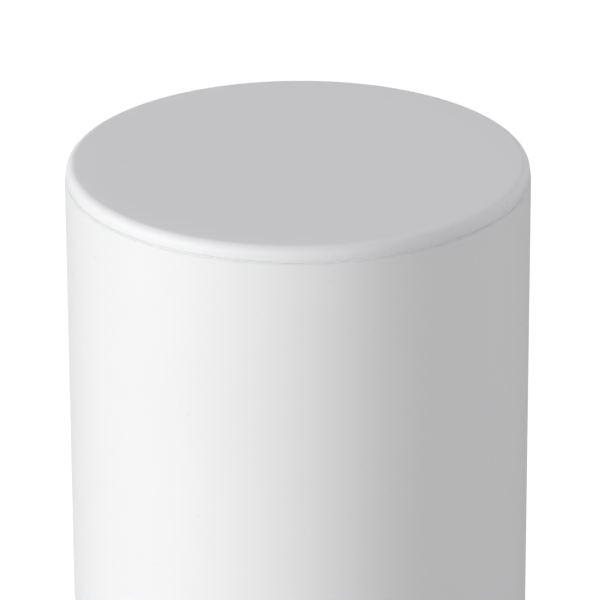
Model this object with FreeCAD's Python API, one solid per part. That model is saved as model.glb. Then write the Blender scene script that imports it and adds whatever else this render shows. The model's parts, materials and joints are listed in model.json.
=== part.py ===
import FreeCAD, Part

import math
import os

V = FreeCAD.Vector

# Bollard light, in millimetres. The origin is the centre of the underside of the base
# plate, +Z is up, and the service door faces +Y.

# Overall sizes
TOTAL_HEIGHT = 1000.0
BODY_DIAMETER = 160.0
HEAD_TUBE_LENGTH = 240.0
POST_WALL = 4.0
DIFFUSER_WALL = 3.0

# Clearances
PLUG_FIT = 0.2
SLIDE_FIT = 0.3
COVER_FIT = 0.5
WELD_FIT = 0.1
THREAD_FIT = 0.05
DOOR_GAP = 1.2

# Cap of the head
CAP_RISE = 5.8
CAP_INSET = 0.4
CAP_EDGE_ROUND = 3.2
CAP_PLATE = 3.4
CAP_SKIRT_DEPTH = 14.0
CAP_SKIRT_WALL = 3.0
CAP_SEAL_THICK = 0.7
CAP_RIB_COUNT = 6
CAP_RIB_THICK = 2.0
CAP_RIB_DEPTH = 8.0
CAP_HUB_RADIUS = 9.0
TUBE_EDGE_ROUND = 0.4

# Collar under the head tube, and the shadow gap below it
COLLAR_BAND = 6.0
COLLAR_SPIGOT_HEIGHT = 14.0
COLLAR_WALL = 4.0
SHADOW_GAP = 3.0
SHADOW_GAP_DEPTH = 4.0
GRUB_RADIUS = 2.0
GRUB_RECESS = 0.5
GRUB_COUNT = 3
GRUB_SOCKET = 2.0
GRUB_FIRST_ANGLE = 30.0

# Head flange, which plugs into the post
FLANGE_RIM = 5.0
FLANGE_SEAL_THICK = 1.0
FLANGE_SKIRT_DEPTH = 24.0
FLANGE_SKIRT_WALL = 4.0
FLANGE_SPIGOT_HEIGHT = 22.0
FLANGE_SPIGOT_WALL = 5.0
O_RING_RADIUS = 1.5
O_RING_GROOVE_DEPTH = 2.6
O_RING_GROOVE_WIDTH = 3.6
FLANGE_SCREW_RADIUS = 2.5
FLANGE_SCREW_DROP = 12.0
FLANGE_SCREW_LENGTH = 13.0
FLANGE_SCREW_SOCKET = 3.0
FLANGE_SCREW_SOCKET_DEPTH = 2.0
COUNTERSINK_RADIUS = 5.0
COUNTERSINK_DEPTH = 2.5
FLANGE_SCREW_ANGLES = (90.0, 210.0, 330.0)
VENT_RADIUS = 6.0
VENT_INSET = 19.5
VENT_RIM = 2.5

# Light engine
COLUMN_ACROSS_FLATS = 52.0
COLUMN_LENGTH = 190.0
COLUMN_CORE_RADIUS = 12.0
COLUMN_CHANNEL_RADIUS = 2.0
COLUMN_CHANNEL_INSET = 8.5
COLUMN_CHANNEL_COUNT = 3
COLUMN_FIRST_ANGLE = 30.0
PAD_THICK = 0.5
BOARD_THICK = 1.6
BOARD_WIDTH = 24.0
BOARD_LENGTH = 178.0
CHIP_WIDTH = 2.8
CHIP_LENGTH = 3.5
CHIP_THICK = 0.8
CHIPS_PER_BOARD = 10
CHIP_PITCH = 15.5
TOP_PLATE_THICK = 3.0
HUB_BOARD_INSET = 6.0
HUB_SCREW_INSET = 5.0
CONNECTOR_SIZE = 12.0
CONNECTOR_HEIGHT = 7.0
LED_LEAD_RADIUS = 2.5
GROMMET_RADIUS = 6.0
GROMMET_RIM = 2.5

# Fasteners used in more than one place
SMALL_SCREW_RADIUS = 1.5
SMALL_SCREW_LENGTH = 4.5
SMALL_SCREW_HEAD_RADIUS = 2.8
SMALL_SCREW_HEAD = 1.8
SMALL_SCREW_SOCKET = 2.0
BOARD_SCREW_LENGTH = 8.0
MIDDLE_SCREW_RADIUS = 2.0
MIDDLE_SCREW_HEAD_RADIUS = 3.6
MIDDLE_SCREW_HEAD = 2.4
MIDDLE_SCREW_SOCKET = 2.5
COLUMN_SCREW_LENGTH = 16.0
DRIVER_SCREW_LENGTH = 4.8
CLIP_SCREW_LENGTH = 9.0
CARRIER_SCREW_RADIUS = 2.5
CARRIER_SCREW_LENGTH = 6.0
CARRIER_SCREW_HEAD_RADIUS = 4.6
CARRIER_SCREW_HEAD = 2.8
CARRIER_SCREW_SOCKET = 3.0

# Gear tray under the head flange
TRAY_THICK = 2.0
TRAY_WIDTH = 84.0
TRAY_LENGTH = 226.0
TRAY_TAB = 24.0
TRAY_FIT = 2.5
TRAY_SCREW_INSET = 12.0
DRIVER_WIDTH = 44.0
DRIVER_DEPTH = 30.0
DRIVER_LENGTH = 130.0
DRIVER_DROP = 30.0
DRIVER_COVER = 14.0
DRIVER_CORNER = 3.0
DRIVER_EAR = 3.0
DRIVER_EAR_WIDTH = 14.0
DRIVER_EAR_REACH = 6.0
DRIVER_GROOVE_COUNT = 6
DRIVER_GROOVE_PITCH = 6.0
DRIVER_GROOVE_WIDTH = 2.4
DRIVER_GROOVE_DEPTH = 1.2
SURGE_WIDTH = 32.0
SURGE_DEPTH = 20.0
SURGE_HEIGHT = 56.0
SURGE_DROP = 60.0
SURGE_EAR = 3.0
SURGE_EAR_WIDTH = 12.0
SURGE_EAR_REACH = 10.0

# Base plate, weld and cover
PLATE_THICK = 10.0
PLATE_MARGIN = 30.0
BOLT_MARGIN = 15.0
BOLT_HOLE_RADIUS = 6.0
BOLT_COUNT = 4
BOLT_FIRST_ANGLE = 45.0
CABLE_HOLE_RADIUS = 45.0
WELD_LEG = 5.0
COVER_WALL = 2.7
COVER_GROUND_GAP = 1.0
COVER_SHOULDER_HEIGHT = 24.0
COVER_COLLAR_FOOT = 29.0
COVER_COLLAR_TOP = 38.0
COVER_COLLAR_WALL = 4.0
COVER_LEDGE = 3.0
COVER_RIM_FIT = 0.8
COVER_SCREW_RADIUS = 2.5
COVER_SCREW_SOCKET = 2.5
COVER_SCREW_COUNT = 3
COVER_SCREW_FIRST_ANGLE = 30.0
COVER_SHOULDER_ROUND = 9.0
COVER_NECK_ROUND = 4.0

# Service door
DOOR_WIDTH = 90.0
DOOR_HEIGHT = 220.0
DOOR_FOOT = 150.0
DOOR_CORNER = 16.0
DOOR_THICK = 3.0
DOOR_SEAL_GAP = 0.3
DOOR_SEAL_INSET = 2.5
FRAME_THICK = 3.8
FRAME_MARGIN = 12.0
FRAME_SIDE_LEDGE = 8.0
FRAME_END_LEDGE = 24.0
DOOR_SCREW_INSET = 13.0
DOOR_SCREW_RADIUS = 3.0
DOOR_SCREW_HEAD_RADIUS = 5.5
DOOR_SCREW_HEAD = 3.0
DOOR_SCREW_LENGTH = 17.0
DOOR_SCREW_SOCKET = 4.0
DOOR_WASHER_WIDTH = 2.6
DOOR_SPOTFACE = 0.4
DOOR_NUT_ACROSS_FLATS = 10.0
DOOR_NUT_THICK = 5.0

# Connection box behind the door
BOX_HEIGHT = 150.0
BOX_DEPTH = 50.0
BOX_WALL = 3.0
BOX_FOOT = 192.0
BOX_BACK = -20.0
BOX_CORNER = 5.0
LID_THICK = 6.0
LID_SEAL_THICK = 1.5
LID_SEAL_WIDTH = 3.0
LID_SCREW_INSET = 8.0
LID_SCREW_RADIUS = 2.0
LID_SCREW_HEAD_RADIUS = 3.6
LID_SCREW_HEAD = 2.6
LID_SCREW_SOCKET = 2.5
LID_BOSS_GAP = 0.7
CROSSBAR_HEIGHT = 20.0
CROSSBAR_THICK = 4.0
BOX_SCREW_INSET = 22.0
CROSSBAR_INSET = 22.0
RAIL_END_GAP = 4.0
RAIL_HEIGHT = 35.0
RAIL_DEPTH = 7.5
RAIL_THICK = 1.2
RAIL_STANDOFF = 2.0
TERMINAL_WIDTH = 6.2
TERMINAL_HEIGHT = 44.0
TERMINAL_DEPTH = 26.0
TERMINAL_COUNT = 6
TERMINAL_GAP = 0.3
TERMINAL_ROW_INSET = 8.0
TERMINAL_HOLE_RADIUS = 1.8
FUSE_TERMINAL_WIDTH = 9.0
FUSE_RADIUS = 2.6
FUSE_LENGTH = 20.0
SUPPLY_CABLE_RADIUS = 6.0
SUPPLY_THREAD_RADIUS = 10.0
RISER_CABLE_RADIUS = 4.0
RISER_THREAD_RADIUS = 8.0
RISER_OFFSET = -18.0
EARTH_LEAD_RADIUS = 2.0
EARTH_THREAD_RADIUS = 6.0
GLAND_FRONT = 5.0
GLAND_HEX = 6.0
GLAND_NECK = 16.0
GLAND_SEAT = 8.0
GLAND_INSERT = 11.0
GLAND_END = 24.0
GLAND_LOCKNUT = 4.0
GLAND_HEX_RATIO = 2.2
LOCKNUT_EXTRA = 1.0
LOCKNUT_GAP = 1.9
EARTH_STUD_OFFSET = 54.0
EARTH_STUD_RADIUS = 3.0
EARTH_STUD_LENGTH = 22.0
EARTH_NUT_ACROSS_FLATS = 10.0
EARTH_NUT_THICK = 5.0
EARTH_WASHER_RADIUS = 6.0
EARTH_WASHER_THICK = 1.6
LUG_THICK = 1.0
LUG_BARREL = 10.0
LUG_BARREL_RADIUS = 3.0
LUG_RADIUS = 5.5
LUG_DROP = 8.0

# Radii and levels that follow from the values above
BODY_RADIUS = BODY_DIAMETER / 2
POST_BORE = BODY_RADIUS - POST_WALL
DIFFUSER_BORE = BODY_RADIUS - DIFFUSER_WALL
COLLAR_BORE = DIFFUSER_BORE - PLUG_FIT - COLLAR_WALL
FLANGE_SPIGOT_RADIUS = COLLAR_BORE - SLIDE_FIT
FLANGE_SPIGOT_BORE = FLANGE_SPIGOT_RADIUS - FLANGE_SPIGOT_WALL
FLANGE_SKIRT_RADIUS = POST_BORE - PLUG_FIT
VENT_OFFSET = FLANGE_SPIGOT_BORE - VENT_INSET
COLUMN_CHANNEL_OFFSET = COLUMN_ACROSS_FLATS / math.sqrt(3) - COLUMN_CHANNEL_INSET
HUB_BOARD_RADIUS = COLUMN_ACROSS_FLATS / 2 - HUB_BOARD_INSET
HUB_SCREW_OFFSET = HUB_BOARD_RADIUS - HUB_SCREW_INSET
PLATE_RADIUS = BODY_RADIUS + PLATE_MARGIN
BOLT_CIRCLE_RADIUS = BODY_RADIUS + BOLT_MARGIN
FRAME_OUTER_RADIUS = POST_BORE - WELD_FIT
FRAME_INNER_RADIUS = FRAME_OUTER_RADIUS - FRAME_THICK

TUBE_TOP = TOTAL_HEIGHT - CAP_RISE
TUBE_FOOT = TUBE_TOP - HEAD_TUBE_LENGTH
COLLAR_FOOT = TUBE_FOOT - COLLAR_BAND
NECK_FOOT = COLLAR_FOOT - SHADOW_GAP
FLANGE_FOOT = NECK_FOOT - FLANGE_RIM
POST_TOP = FLANGE_FOOT - FLANGE_SEAL_THICK
COLUMN_TOP = NECK_FOOT + COLUMN_LENGTH
HUB_BOARD_FOOT = COLUMN_TOP + TOP_PLATE_THICK
TRAY_FRONT = DRIVER_DEPTH / 2
DRIVER_TOP = POST_TOP - DRIVER_DROP
DRIVER_BOTTOM = DRIVER_TOP - DRIVER_LENGTH
DOOR_MIDDLE = DOOR_FOOT + DOOR_HEIGHT / 2
BOX_FRONT = BOX_BACK + BOX_DEPTH
BOX_TOP = BOX_FOOT + BOX_HEIGHT
LID_BACK = BOX_FRONT + LID_SEAL_THICK
BOX_MIDDLE = BOX_FOOT + BOX_HEIGHT / 2
BOX_INNER_CORNER = BOX_CORNER - 2.0
SUPPLY_LOCKNUT = SUPPLY_THREAD_RADIUS * GLAND_HEX_RATIO + LOCKNUT_EXTRA
EARTH_LOCKNUT = EARTH_THREAD_RADIUS * GLAND_HEX_RATIO + LOCKNUT_EXTRA
SUPPLY_OFFSET = (EARTH_LOCKNUT + SUPPLY_LOCKNUT) / 2 + LOCKNUT_GAP
BOX_WIDTH = 2 * (SUPPLY_OFFSET + SUPPLY_LOCKNUT / 2 + BOX_INNER_CORNER + BOX_WALL)
RAIL_LENGTH = BOX_WIDTH - 2 * (BOX_WALL + RAIL_END_GAP)
LID_BOSS_DEPTH = BOX_FRONT - GLAND_FRONT - SUPPLY_LOCKNUT / math.sqrt(3) - LID_BOSS_GAP
LID_SCREW_LENGTH = LID_THICK / 2 + LID_SEAL_THICK + LID_BOSS_DEPTH - 2.5
RAIL_BACK = BOX_BACK + BOX_WALL + RAIL_STANDOFF
RAIL_FRONT = RAIL_BACK + RAIL_DEPTH


# ---------------------------------------------------------------- shape helpers


def in_section(point):
    """A drawing point (radius, height) on the half plane that a turned part is drawn on."""
    return V(point.x, 0, point.y)


def in_plan(point):
    """A drawing point (x, y) seen from above."""
    return V(point.x, point.y, 0)


def in_front_view(point):
    """A drawing point (x, z) seen along +Y."""
    return V(point.x, 0, point.y)


def in_side_view(point):
    """A drawing point (y, z) seen along X."""
    return V(0, point.x, point.y)


def rounded_wire(corners, to_space):
    """Closed wire through (u, v) or (u, v, radius) corners, rounded where a radius is given."""
    points = [V(corner[0], corner[1], 0) for corner in corners]
    radii = [corner[2] if len(corner) > 2 else 0 for corner in corners]
    count = len(points)
    turns = []
    for index, point in enumerate(points):
        if not radii[index]:
            turns.append((point, None, point))
            continue
        back = (points[index - 1] - point).normalize()
        ahead = (points[(index + 1) % count] - point).normalize()
        half_angle = back.getAngle(ahead) / 2
        reach = radii[index] / math.tan(half_angle)
        bow = radii[index] / math.sin(half_angle) - radii[index]
        middle = (back + ahead).normalize()
        turns.append((point + back * reach, point + middle * bow, point + ahead * reach))
    edges = []
    for index, (first, middle, last) in enumerate(turns):
        if middle:
            edges.append(Part.Arc(to_space(first), to_space(middle), to_space(last)).toShape())
        following = turns[(index + 1) % count][0]
        if (following - last).Length > 1e-6:
            edges.append(Part.LineSegment(to_space(last), to_space(following)).toShape())
    return Part.Wire(edges)


def turned(corners):
    """Solid turned about the Z axis from (radius, height, rounding) corners."""
    face = Part.Face(rounded_wire(corners, in_section))
    return face.revolve(V(0, 0, 0), V(0, 0, 1), 360)


def tube(outer, inner, foot, top):
    """Plain upright tube on the Z axis."""
    return turned([(inner, foot), (outer, foot), (outer, top), (inner, top)])


def extruded(corners, to_space, start, travel):
    """Rounded outline moved to start and extruded along travel."""
    face = Part.Face(rounded_wire(corners, to_space))
    face.translate(start)
    return face.extrude(travel)


def rectangle(width, height, radius, u=0, v=0):
    """Corners of a rounded rectangle centred on (u, v)."""
    half_width, half_height = width / 2, height / 2
    signs = ((-1, -1), (1, -1), (1, 1), (-1, 1))
    return [(u + a * half_width, v + b * half_height, radius) for a, b in signs]


def upright_block(width, height, radius, back, front, middle):
    """Block with rounded corners in the front view, from y back to y front."""
    corners = rectangle(width, height, radius, 0, middle)
    return extruded(corners, in_front_view, V(0, back, 0), V(0, front - back, 0))


def hexagon(across_flats, foot, top, inner=0):
    """Hexagonal prism on the Z axis, with an optional round bore."""
    circle = across_flats / math.sqrt(3)
    angles = [math.radians(30 + 60 * step) for step in range(6)]
    corners = [(circle * math.cos(angle), circle * math.sin(angle)) for angle in angles]
    prism = extruded(corners, in_plan, V(0, 0, foot), V(0, 0, top - foot))
    if inner:
        prism = prism.cut(Part.makeCylinder(inner, top - foot, V(0, 0, foot)))
    return prism


def rod(radius, start, end):
    """Round bar from start to end."""
    return Part.makeCylinder(radius, (end - start).Length, start, end - start)


def around(shape, count, first_angle=0.0):
    """Copies of a shape at even angles about the Z axis."""
    copies = []
    for step in range(count):
        copy = shape.copy()
        copy.rotate(V(0, 0, 0), V(0, 0, 1), first_angle + 360.0 * step / count)
        copies.append(copy)
    return copies


def at_angles(shape, angles):
    """Copies of a shape at the given angles about the Z axis."""
    copies = []
    for angle in angles:
        copy = shape.copy()
        copy.rotate(V(0, 0, 0), V(0, 0, 1), angle)
        copies.append(copy)
    return copies


def aimed(shape, place, direction):
    """Copy of a shape made along +Z, with +Z turned to direction and the origin moved to place."""
    copy = shape.copy()
    copy.Placement = FreeCAD.Placement(place, FreeCAD.Rotation(V(0, 0, 1), direction))
    return copy


def mirrored_x(shape):
    """The shape, and its copy turned half a turn about Z in the XY plane."""
    copy = shape.copy()
    copy.rotate(V(0, 0, 0), V(0, 0, 1), 180)
    return [shape, copy]


def without(shape, tools):
    """Shape with every tool cut away."""
    for tool in tools:
        shape = shape.cut(tool)
    return shape


def joined(shape, extras):
    """Shape fused with extras into one clean solid."""
    for extra in extras:
        shape = shape.fuse(extra)
    return shape.removeSplitter()


def hex_socket(across_flats, depth, top):
    """Hexagonal recess cut down from height top."""
    return hexagon(across_flats, top - depth, top + 1)


def pan_screw(radius, length, head_radius, head_height, socket):
    """Screw along -Z with its head above z = 0 and a hexagon socket in a domed head."""
    corners = [
        (0, -length),
        (radius * 0.8, -length),
        (radius, -length + radius * 0.4),
        (radius, 0),
        (head_radius, 0),
        (head_radius, head_height, min(head_radius, head_height) * 0.55),
        (0, head_height),
    ]
    return turned(corners).cut(hex_socket(socket, head_height * 0.6, head_height))


def small_screw(length):
    """Pan screw of the boards and the surge protector."""
    return pan_screw(
        SMALL_SCREW_RADIUS, length, SMALL_SCREW_HEAD_RADIUS, SMALL_SCREW_HEAD, SMALL_SCREW_SOCKET
    )


def middle_screw(length):
    """Pan screw of the light column, the driver and the cable clip."""
    return pan_screw(
        MIDDLE_SCREW_RADIUS, length, MIDDLE_SCREW_HEAD_RADIUS, MIDDLE_SCREW_HEAD, MIDDLE_SCREW_SOCKET
    )


def carrier_screw():
    """Pan screw that holds the gear tray and the connection box."""
    return pan_screw(
        CARRIER_SCREW_RADIUS,
        CARRIER_SCREW_LENGTH,
        CARRIER_SCREW_HEAD_RADIUS,
        CARRIER_SCREW_HEAD,
        CARRIER_SCREW_SOCKET,
    )


def grub_screw(radius, length, socket):
    """Headless screw along -Z from z = 0, with a chamfered tip."""
    corners = [
        (0, -length),
        (radius * 0.6, -length),
        (radius, -length + radius * 0.4),
        (radius, -radius * 0.2),
        (radius * 0.8, 0),
        (0, 0),
    ]
    return turned(corners).cut(hex_socket(socket, length * 0.45, 0))


def cable(points, radius):
    """Round cable of straight runs joined by the largest tangent arcs that its runs allow."""
    runs = [points[i + 1] - points[i] for i in range(len(points) - 1)]
    edges = []
    last = points[0]
    for index in range(1, len(points) - 1):
        before, after = runs[index - 1], runs[index]
        turn = before.getAngle(after)
        shorter = min(before.Length, after.Length)
        bend = 0.45 * shorter / math.tan(turn / 2)
        reach = bend * math.tan(turn / 2)
        back = V(before).normalize() * -reach
        ahead = V(after).normalize() * reach
        bow = bend / math.cos(turn / 2) - bend
        middle = (V(before).normalize() * -1 + V(after).normalize()).normalize() * bow
        corner = points[index]
        edges.append(Part.LineSegment(last, corner + back).toShape())
        edges.append(Part.Arc(corner + back, corner + middle, corner + ahead).toShape())
        last = corner + ahead
        print(f"bend radius {bend:.1f} mm on a cable of radius {radius} mm")
    edges.append(Part.LineSegment(last, points[-1]).toShape())
    spine = Part.Wire(edges)
    circle = Part.Wire(Part.Circle(points[0], runs[0], radius).toShape())
    solid = spine.makePipeShell([circle], True, False)
    expected = math.pi * radius**2 * spine.Length
    print(f"cable length {spine.Length:.1f} mm, volume ratio {solid.Volume / expected:.4f}")
    return solid


# ---------------------------------------------------------------- head


def cap_radius():
    return BODY_RADIUS - CAP_INSET


def diffuser_tube():
    """Opal tube that forms the luminous head."""
    return turned(
        [
            (DIFFUSER_BORE, TUBE_FOOT),
            (BODY_RADIUS, TUBE_FOOT, TUBE_EDGE_ROUND),
            (BODY_RADIUS, TUBE_TOP, TUBE_EDGE_ROUND),
            (DIFFUSER_BORE, TUBE_TOP),
        ]
    )


def cap_seal():
    """Thin ring with a round outer edge, squeezed between the tube's end and the cap's rim."""
    top = TUBE_TOP + CAP_SEAL_THICK
    outer = BODY_RADIUS - 0.1
    edge = CAP_SEAL_THICK * 0.45
    return turned(
        [
            (DIFFUSER_BORE, TUBE_TOP),
            (outer, TUBE_TOP, edge),
            (outer, top, edge),
            (DIFFUSER_BORE, top),
        ]
    )


def diffuser_cap():
    """Moulded cap: a flat disc with a rounded edge, a skirt that plugs into the tube, and ribs."""
    rim = TUBE_TOP + CAP_SEAL_THICK
    under = TOTAL_HEIGHT - CAP_PLATE
    skirt_outer = DIFFUSER_BORE - PLUG_FIT
    skirt_inner = skirt_outer - CAP_SKIRT_WALL
    skirt_foot = TUBE_TOP - CAP_SKIRT_DEPTH
    shell = turned(
        [
            (0, under),
            (skirt_inner, under, 2.0),
            (skirt_inner, skirt_foot),
            (skirt_outer - 0.8, skirt_foot),
            (skirt_outer, skirt_foot + 2.0),
            (skirt_outer, rim),
            (cap_radius(), rim, 0.25),
            (cap_radius(), TOTAL_HEIGHT, CAP_EDGE_ROUND),
            (0, TOTAL_HEIGHT),
        ]
    )
    rib_length = skirt_inner + 1.0 - CAP_HUB_RADIUS + 2.0
    rib = Part.makeBox(rib_length, CAP_RIB_THICK, CAP_RIB_DEPTH + 1.0)
    rib.translate(V(CAP_HUB_RADIUS - 2.0, -CAP_RIB_THICK / 2, under - CAP_RIB_DEPTH))
    hub = tube(CAP_HUB_RADIUS, CAP_HUB_RADIUS - 3.0, under - CAP_RIB_DEPTH, under + 1.0)
    return joined(shell, [hub] + around(rib, CAP_RIB_COUNT, 30.0))


def diffuser_collar():
    """Painted ring under the opal tube, with a spigot inside it and radial screw holes."""
    spigot = DIFFUSER_BORE - PLUG_FIT
    ring = turned(
        [
            (COLLAR_BORE, COLLAR_FOOT),
            (BODY_RADIUS, COLLAR_FOOT, 0.6),
            (BODY_RADIUS, TUBE_FOOT, 0.3),
            (spigot, TUBE_FOOT),
            (spigot, TUBE_FOOT + COLLAR_SPIGOT_HEIGHT - 1.0),
            (spigot - 1.0, TUBE_FOOT + COLLAR_SPIGOT_HEIGHT),
            (COLLAR_BORE, TUBE_FOOT + COLLAR_SPIGOT_HEIGHT),
        ]
    )
    height = COLLAR_FOOT + COLLAR_BAND / 2
    inside, outside = V(COLLAR_BORE - 2, 0, height), V(BODY_RADIUS + 2, 0, height)
    hole = rod(GRUB_RADIUS + THREAD_FIT, inside, outside)
    return without(ring, around(hole, GRUB_COUNT, GRUB_FIRST_ANGLE))


def head_grub_screws():
    """Headless screws in the collar that clamp the head on its flange."""
    length = BODY_RADIUS - GRUB_RECESS - COLLAR_BORE - 0.1
    height = COLLAR_FOOT + COLLAR_BAND / 2
    screw = grub_screw(GRUB_RADIUS, length, GRUB_SOCKET)
    screw = aimed(screw, V(BODY_RADIUS - GRUB_RECESS, 0, height), V(1, 0, 0))
    return Part.makeCompound(around(screw, GRUB_COUNT, GRUB_FIRST_ANGLE))


# ---------------------------------------------------------------- head flange


def groove_middle():
    return COLLAR_FOOT + FLANGE_SPIGOT_HEIGHT - 6.0


def head_flange():
    """Cast bulkhead that closes the post and carries the light engine, the tray and the head."""
    skirt_inner = FLANGE_SKIRT_RADIUS - FLANGE_SKIRT_WALL
    neck = BODY_RADIUS - SHADOW_GAP_DEPTH
    spigot_top = COLLAR_FOOT + FLANGE_SPIGOT_HEIGHT
    groove_floor = FLANGE_SPIGOT_RADIUS - O_RING_GROOVE_DEPTH
    groove_foot = groove_middle() - O_RING_GROOVE_WIDTH / 2
    groove_top = groove_middle() + O_RING_GROOVE_WIDTH / 2
    body = turned(
        [
            (0, POST_TOP),
            (skirt_inner, POST_TOP, 2.0),
            (skirt_inner, POST_TOP - FLANGE_SKIRT_DEPTH),
            (FLANGE_SKIRT_RADIUS - 1.0, POST_TOP - FLANGE_SKIRT_DEPTH),
            (FLANGE_SKIRT_RADIUS, POST_TOP - FLANGE_SKIRT_DEPTH + 3.0),
            (FLANGE_SKIRT_RADIUS, FLANGE_FOOT),
            (BODY_RADIUS, FLANGE_FOOT, 0.5),
            (BODY_RADIUS, NECK_FOOT, 0.8),
            (neck, NECK_FOOT),
            (neck, COLLAR_FOOT),
            (FLANGE_SPIGOT_RADIUS, COLLAR_FOOT),
            (FLANGE_SPIGOT_RADIUS, groove_foot),
            (groove_floor, groove_foot),
            (groove_floor, groove_top),
            (FLANGE_SPIGOT_RADIUS, groove_top),
            (FLANGE_SPIGOT_RADIUS, spigot_top - 2.0),
            (FLANGE_SPIGOT_RADIUS - 1.5, spigot_top),
            (FLANGE_SPIGOT_BORE, spigot_top, 1.0),
            (FLANGE_SPIGOT_BORE, NECK_FOOT, 2.0),
            (0, NECK_FOOT),
        ]
    )
    above, below = POST_TOP - 5, NECK_FOOT + 5
    grommet_hole = rod(GROMMET_RADIUS + WELD_FIT, V(0, 0, above), V(0, 0, below))
    vent_hole = rod(VENT_RADIUS + THREAD_FIT, V(-VENT_OFFSET, 0, above), V(-VENT_OFFSET, 0, below))
    column_hole = rod(
        COLUMN_CHANNEL_RADIUS + WELD_FIT,
        V(COLUMN_CHANNEL_OFFSET, 0, above),
        V(COLUMN_CHANNEL_OFFSET, 0, below),
    )
    tray_holes = []
    for x in tray_screw_places():
        place = V(x, tray_screw_front(), POST_TOP - 1)
        tray_holes.append(rod(CARRIER_SCREW_RADIUS + THREAD_FIT, place, place + V(0, 0, 5.5)))
    height = POST_TOP - FLANGE_SCREW_DROP
    side_hole = rod(
        FLANGE_SCREW_RADIUS + THREAD_FIT,
        V(skirt_inner - 3, 0, height),
        V(FLANGE_SKIRT_RADIUS + 3, 0, height),
    )
    column_holes = around(column_hole, COLUMN_CHANNEL_COUNT, COLUMN_FIRST_ANGLE)
    cuts = [grommet_hole, vent_hole] + column_holes + tray_holes
    return without(body, cuts + at_angles(side_hole, FLANGE_SCREW_ANGLES))


def flange_seal():
    """Flat ring between the end of the post and the flange rim."""
    return tube(BODY_RADIUS - 0.4, POST_BORE + 0.3, POST_TOP, FLANGE_FOOT)


def head_seal():
    """O-ring in the spigot's groove."""
    groove_floor = FLANGE_SPIGOT_RADIUS - O_RING_GROOVE_DEPTH
    middle = groove_floor + 0.05 + O_RING_RADIUS - 0.2
    return Part.makeTorus(middle, O_RING_RADIUS - 0.25, V(0, 0, groove_middle()))


def flange_screws():
    """Countersunk screws through the post wall into the flange skirt."""
    outer = BODY_RADIUS - 0.25
    screw = turned(
        [
            (0, -FLANGE_SCREW_LENGTH),
            (FLANGE_SCREW_RADIUS, -FLANGE_SCREW_LENGTH),
            (FLANGE_SCREW_RADIUS, -COUNTERSINK_DEPTH),
            (COUNTERSINK_RADIUS - 0.1, -0.1),
            (COUNTERSINK_RADIUS - 0.1, 0),
            (0, 0),
        ]
    )
    screw = screw.cut(hex_socket(FLANGE_SCREW_SOCKET, FLANGE_SCREW_SOCKET_DEPTH, 0))
    screw = aimed(screw, V(outer, 0, POST_TOP - FLANGE_SCREW_DROP), V(1, 0, 0))
    return Part.makeCompound(at_angles(screw, FLANGE_SCREW_ANGLES))


def vent_plug():
    """Pressure-equalising plug screwed through the flange floor."""
    plug = turned(
        [
            (0, POST_TOP - 3),
            (VENT_RADIUS, POST_TOP - 3),
            (VENT_RADIUS, NECK_FOOT),
            (VENT_RADIUS + VENT_RIM, NECK_FOOT),
            (VENT_RADIUS + VENT_RIM, NECK_FOOT + 5, 1.5),
            (0, NECK_FOOT + 5),
        ]
    )
    slot = Part.makeBox(2 * VENT_RADIUS, 1.6, 2, V(-VENT_RADIUS, -0.8, NECK_FOOT + 3.4))
    plug = plug.cut(slot)
    plug.translate(V(-VENT_OFFSET, 0, 0))
    return plug


def lead_grommet():
    """Rubber grommet that seals the lead where it passes the flange floor."""
    bore = LED_LEAD_RADIUS + WELD_FIT
    return turned(
        [
            (bore, POST_TOP - 3),
            (GROMMET_RADIUS + GROMMET_RIM, POST_TOP - 3, 1.0),
            (GROMMET_RADIUS + GROMMET_RIM, POST_TOP),
            (GROMMET_RADIUS, POST_TOP),
            (GROMMET_RADIUS, NECK_FOOT),
            (GROMMET_RADIUS + GROMMET_RIM, NECK_FOOT),
            (GROMMET_RADIUS + GROMMET_RIM, NECK_FOOT + 2.5, 1.0),
            (bore, NECK_FOOT + 2.5),
        ]
    )


# ---------------------------------------------------------------- light engine


def channel_bores(start, end, radius):
    hole = rod(radius, V(COLUMN_CHANNEL_OFFSET, 0, start), V(COLUMN_CHANNEL_OFFSET, 0, end))
    return around(hole, COLUMN_CHANNEL_COUNT, COLUMN_FIRST_ANGLE)


def board_screw_heights():
    reach = BOARD_LENGTH / 2 - 5.0
    middle = NECK_FOOT + COLUMN_LENGTH / 2
    return (middle - reach, middle + reach)


def led_column():
    """Hexagonal aluminium extrusion that carries the boards and takes their heat."""
    column = hexagon(COLUMN_ACROSS_FLATS, NECK_FOOT, COLUMN_TOP, COLUMN_CORE_RADIUS)
    cuts = channel_bores(NECK_FOOT - 1, COLUMN_TOP + 1, COLUMN_CHANNEL_RADIUS + THREAD_FIT)
    flat = COLUMN_ACROSS_FLATS / 2
    for height in board_screw_heights():
        hole = rod(SMALL_SCREW_RADIUS + THREAD_FIT, V(flat - 7.0, 0, height), V(flat + 1, 0, height))
        cuts += around(hole, 6)
    return without(column, cuts)


def board_blank(inner, thick, width, length, bore):
    """Flat strip standing on the +X face of the column, with its two screw holes."""
    middle = NECK_FOOT + COLUMN_LENGTH / 2
    corners = rectangle(width, length, 1.0, 0, middle)
    strip = extruded(corners, in_side_view, V(inner, 0, 0), V(thick, 0, 0))
    holes = []
    for height in board_screw_heights():
        holes.append(rod(bore, V(inner - 1, 0, height), V(inner + thick + 1, 0, height)))
    return without(strip, holes)


def thermal_pads():
    """Thin heat-conducting strips between the boards and the column."""
    pad = board_blank(COLUMN_ACROSS_FLATS / 2, PAD_THICK, BOARD_WIDTH - 2, BOARD_LENGTH - 2, 2.0)
    return Part.makeCompound(around(pad, 6))


def led_boards():
    """Six circuit boards, one on each flat."""
    inner = COLUMN_ACROSS_FLATS / 2 + PAD_THICK
    board = board_blank(inner, BOARD_THICK, BOARD_WIDTH, BOARD_LENGTH, 1.6)
    return Part.makeCompound(around(board, 6))


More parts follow.
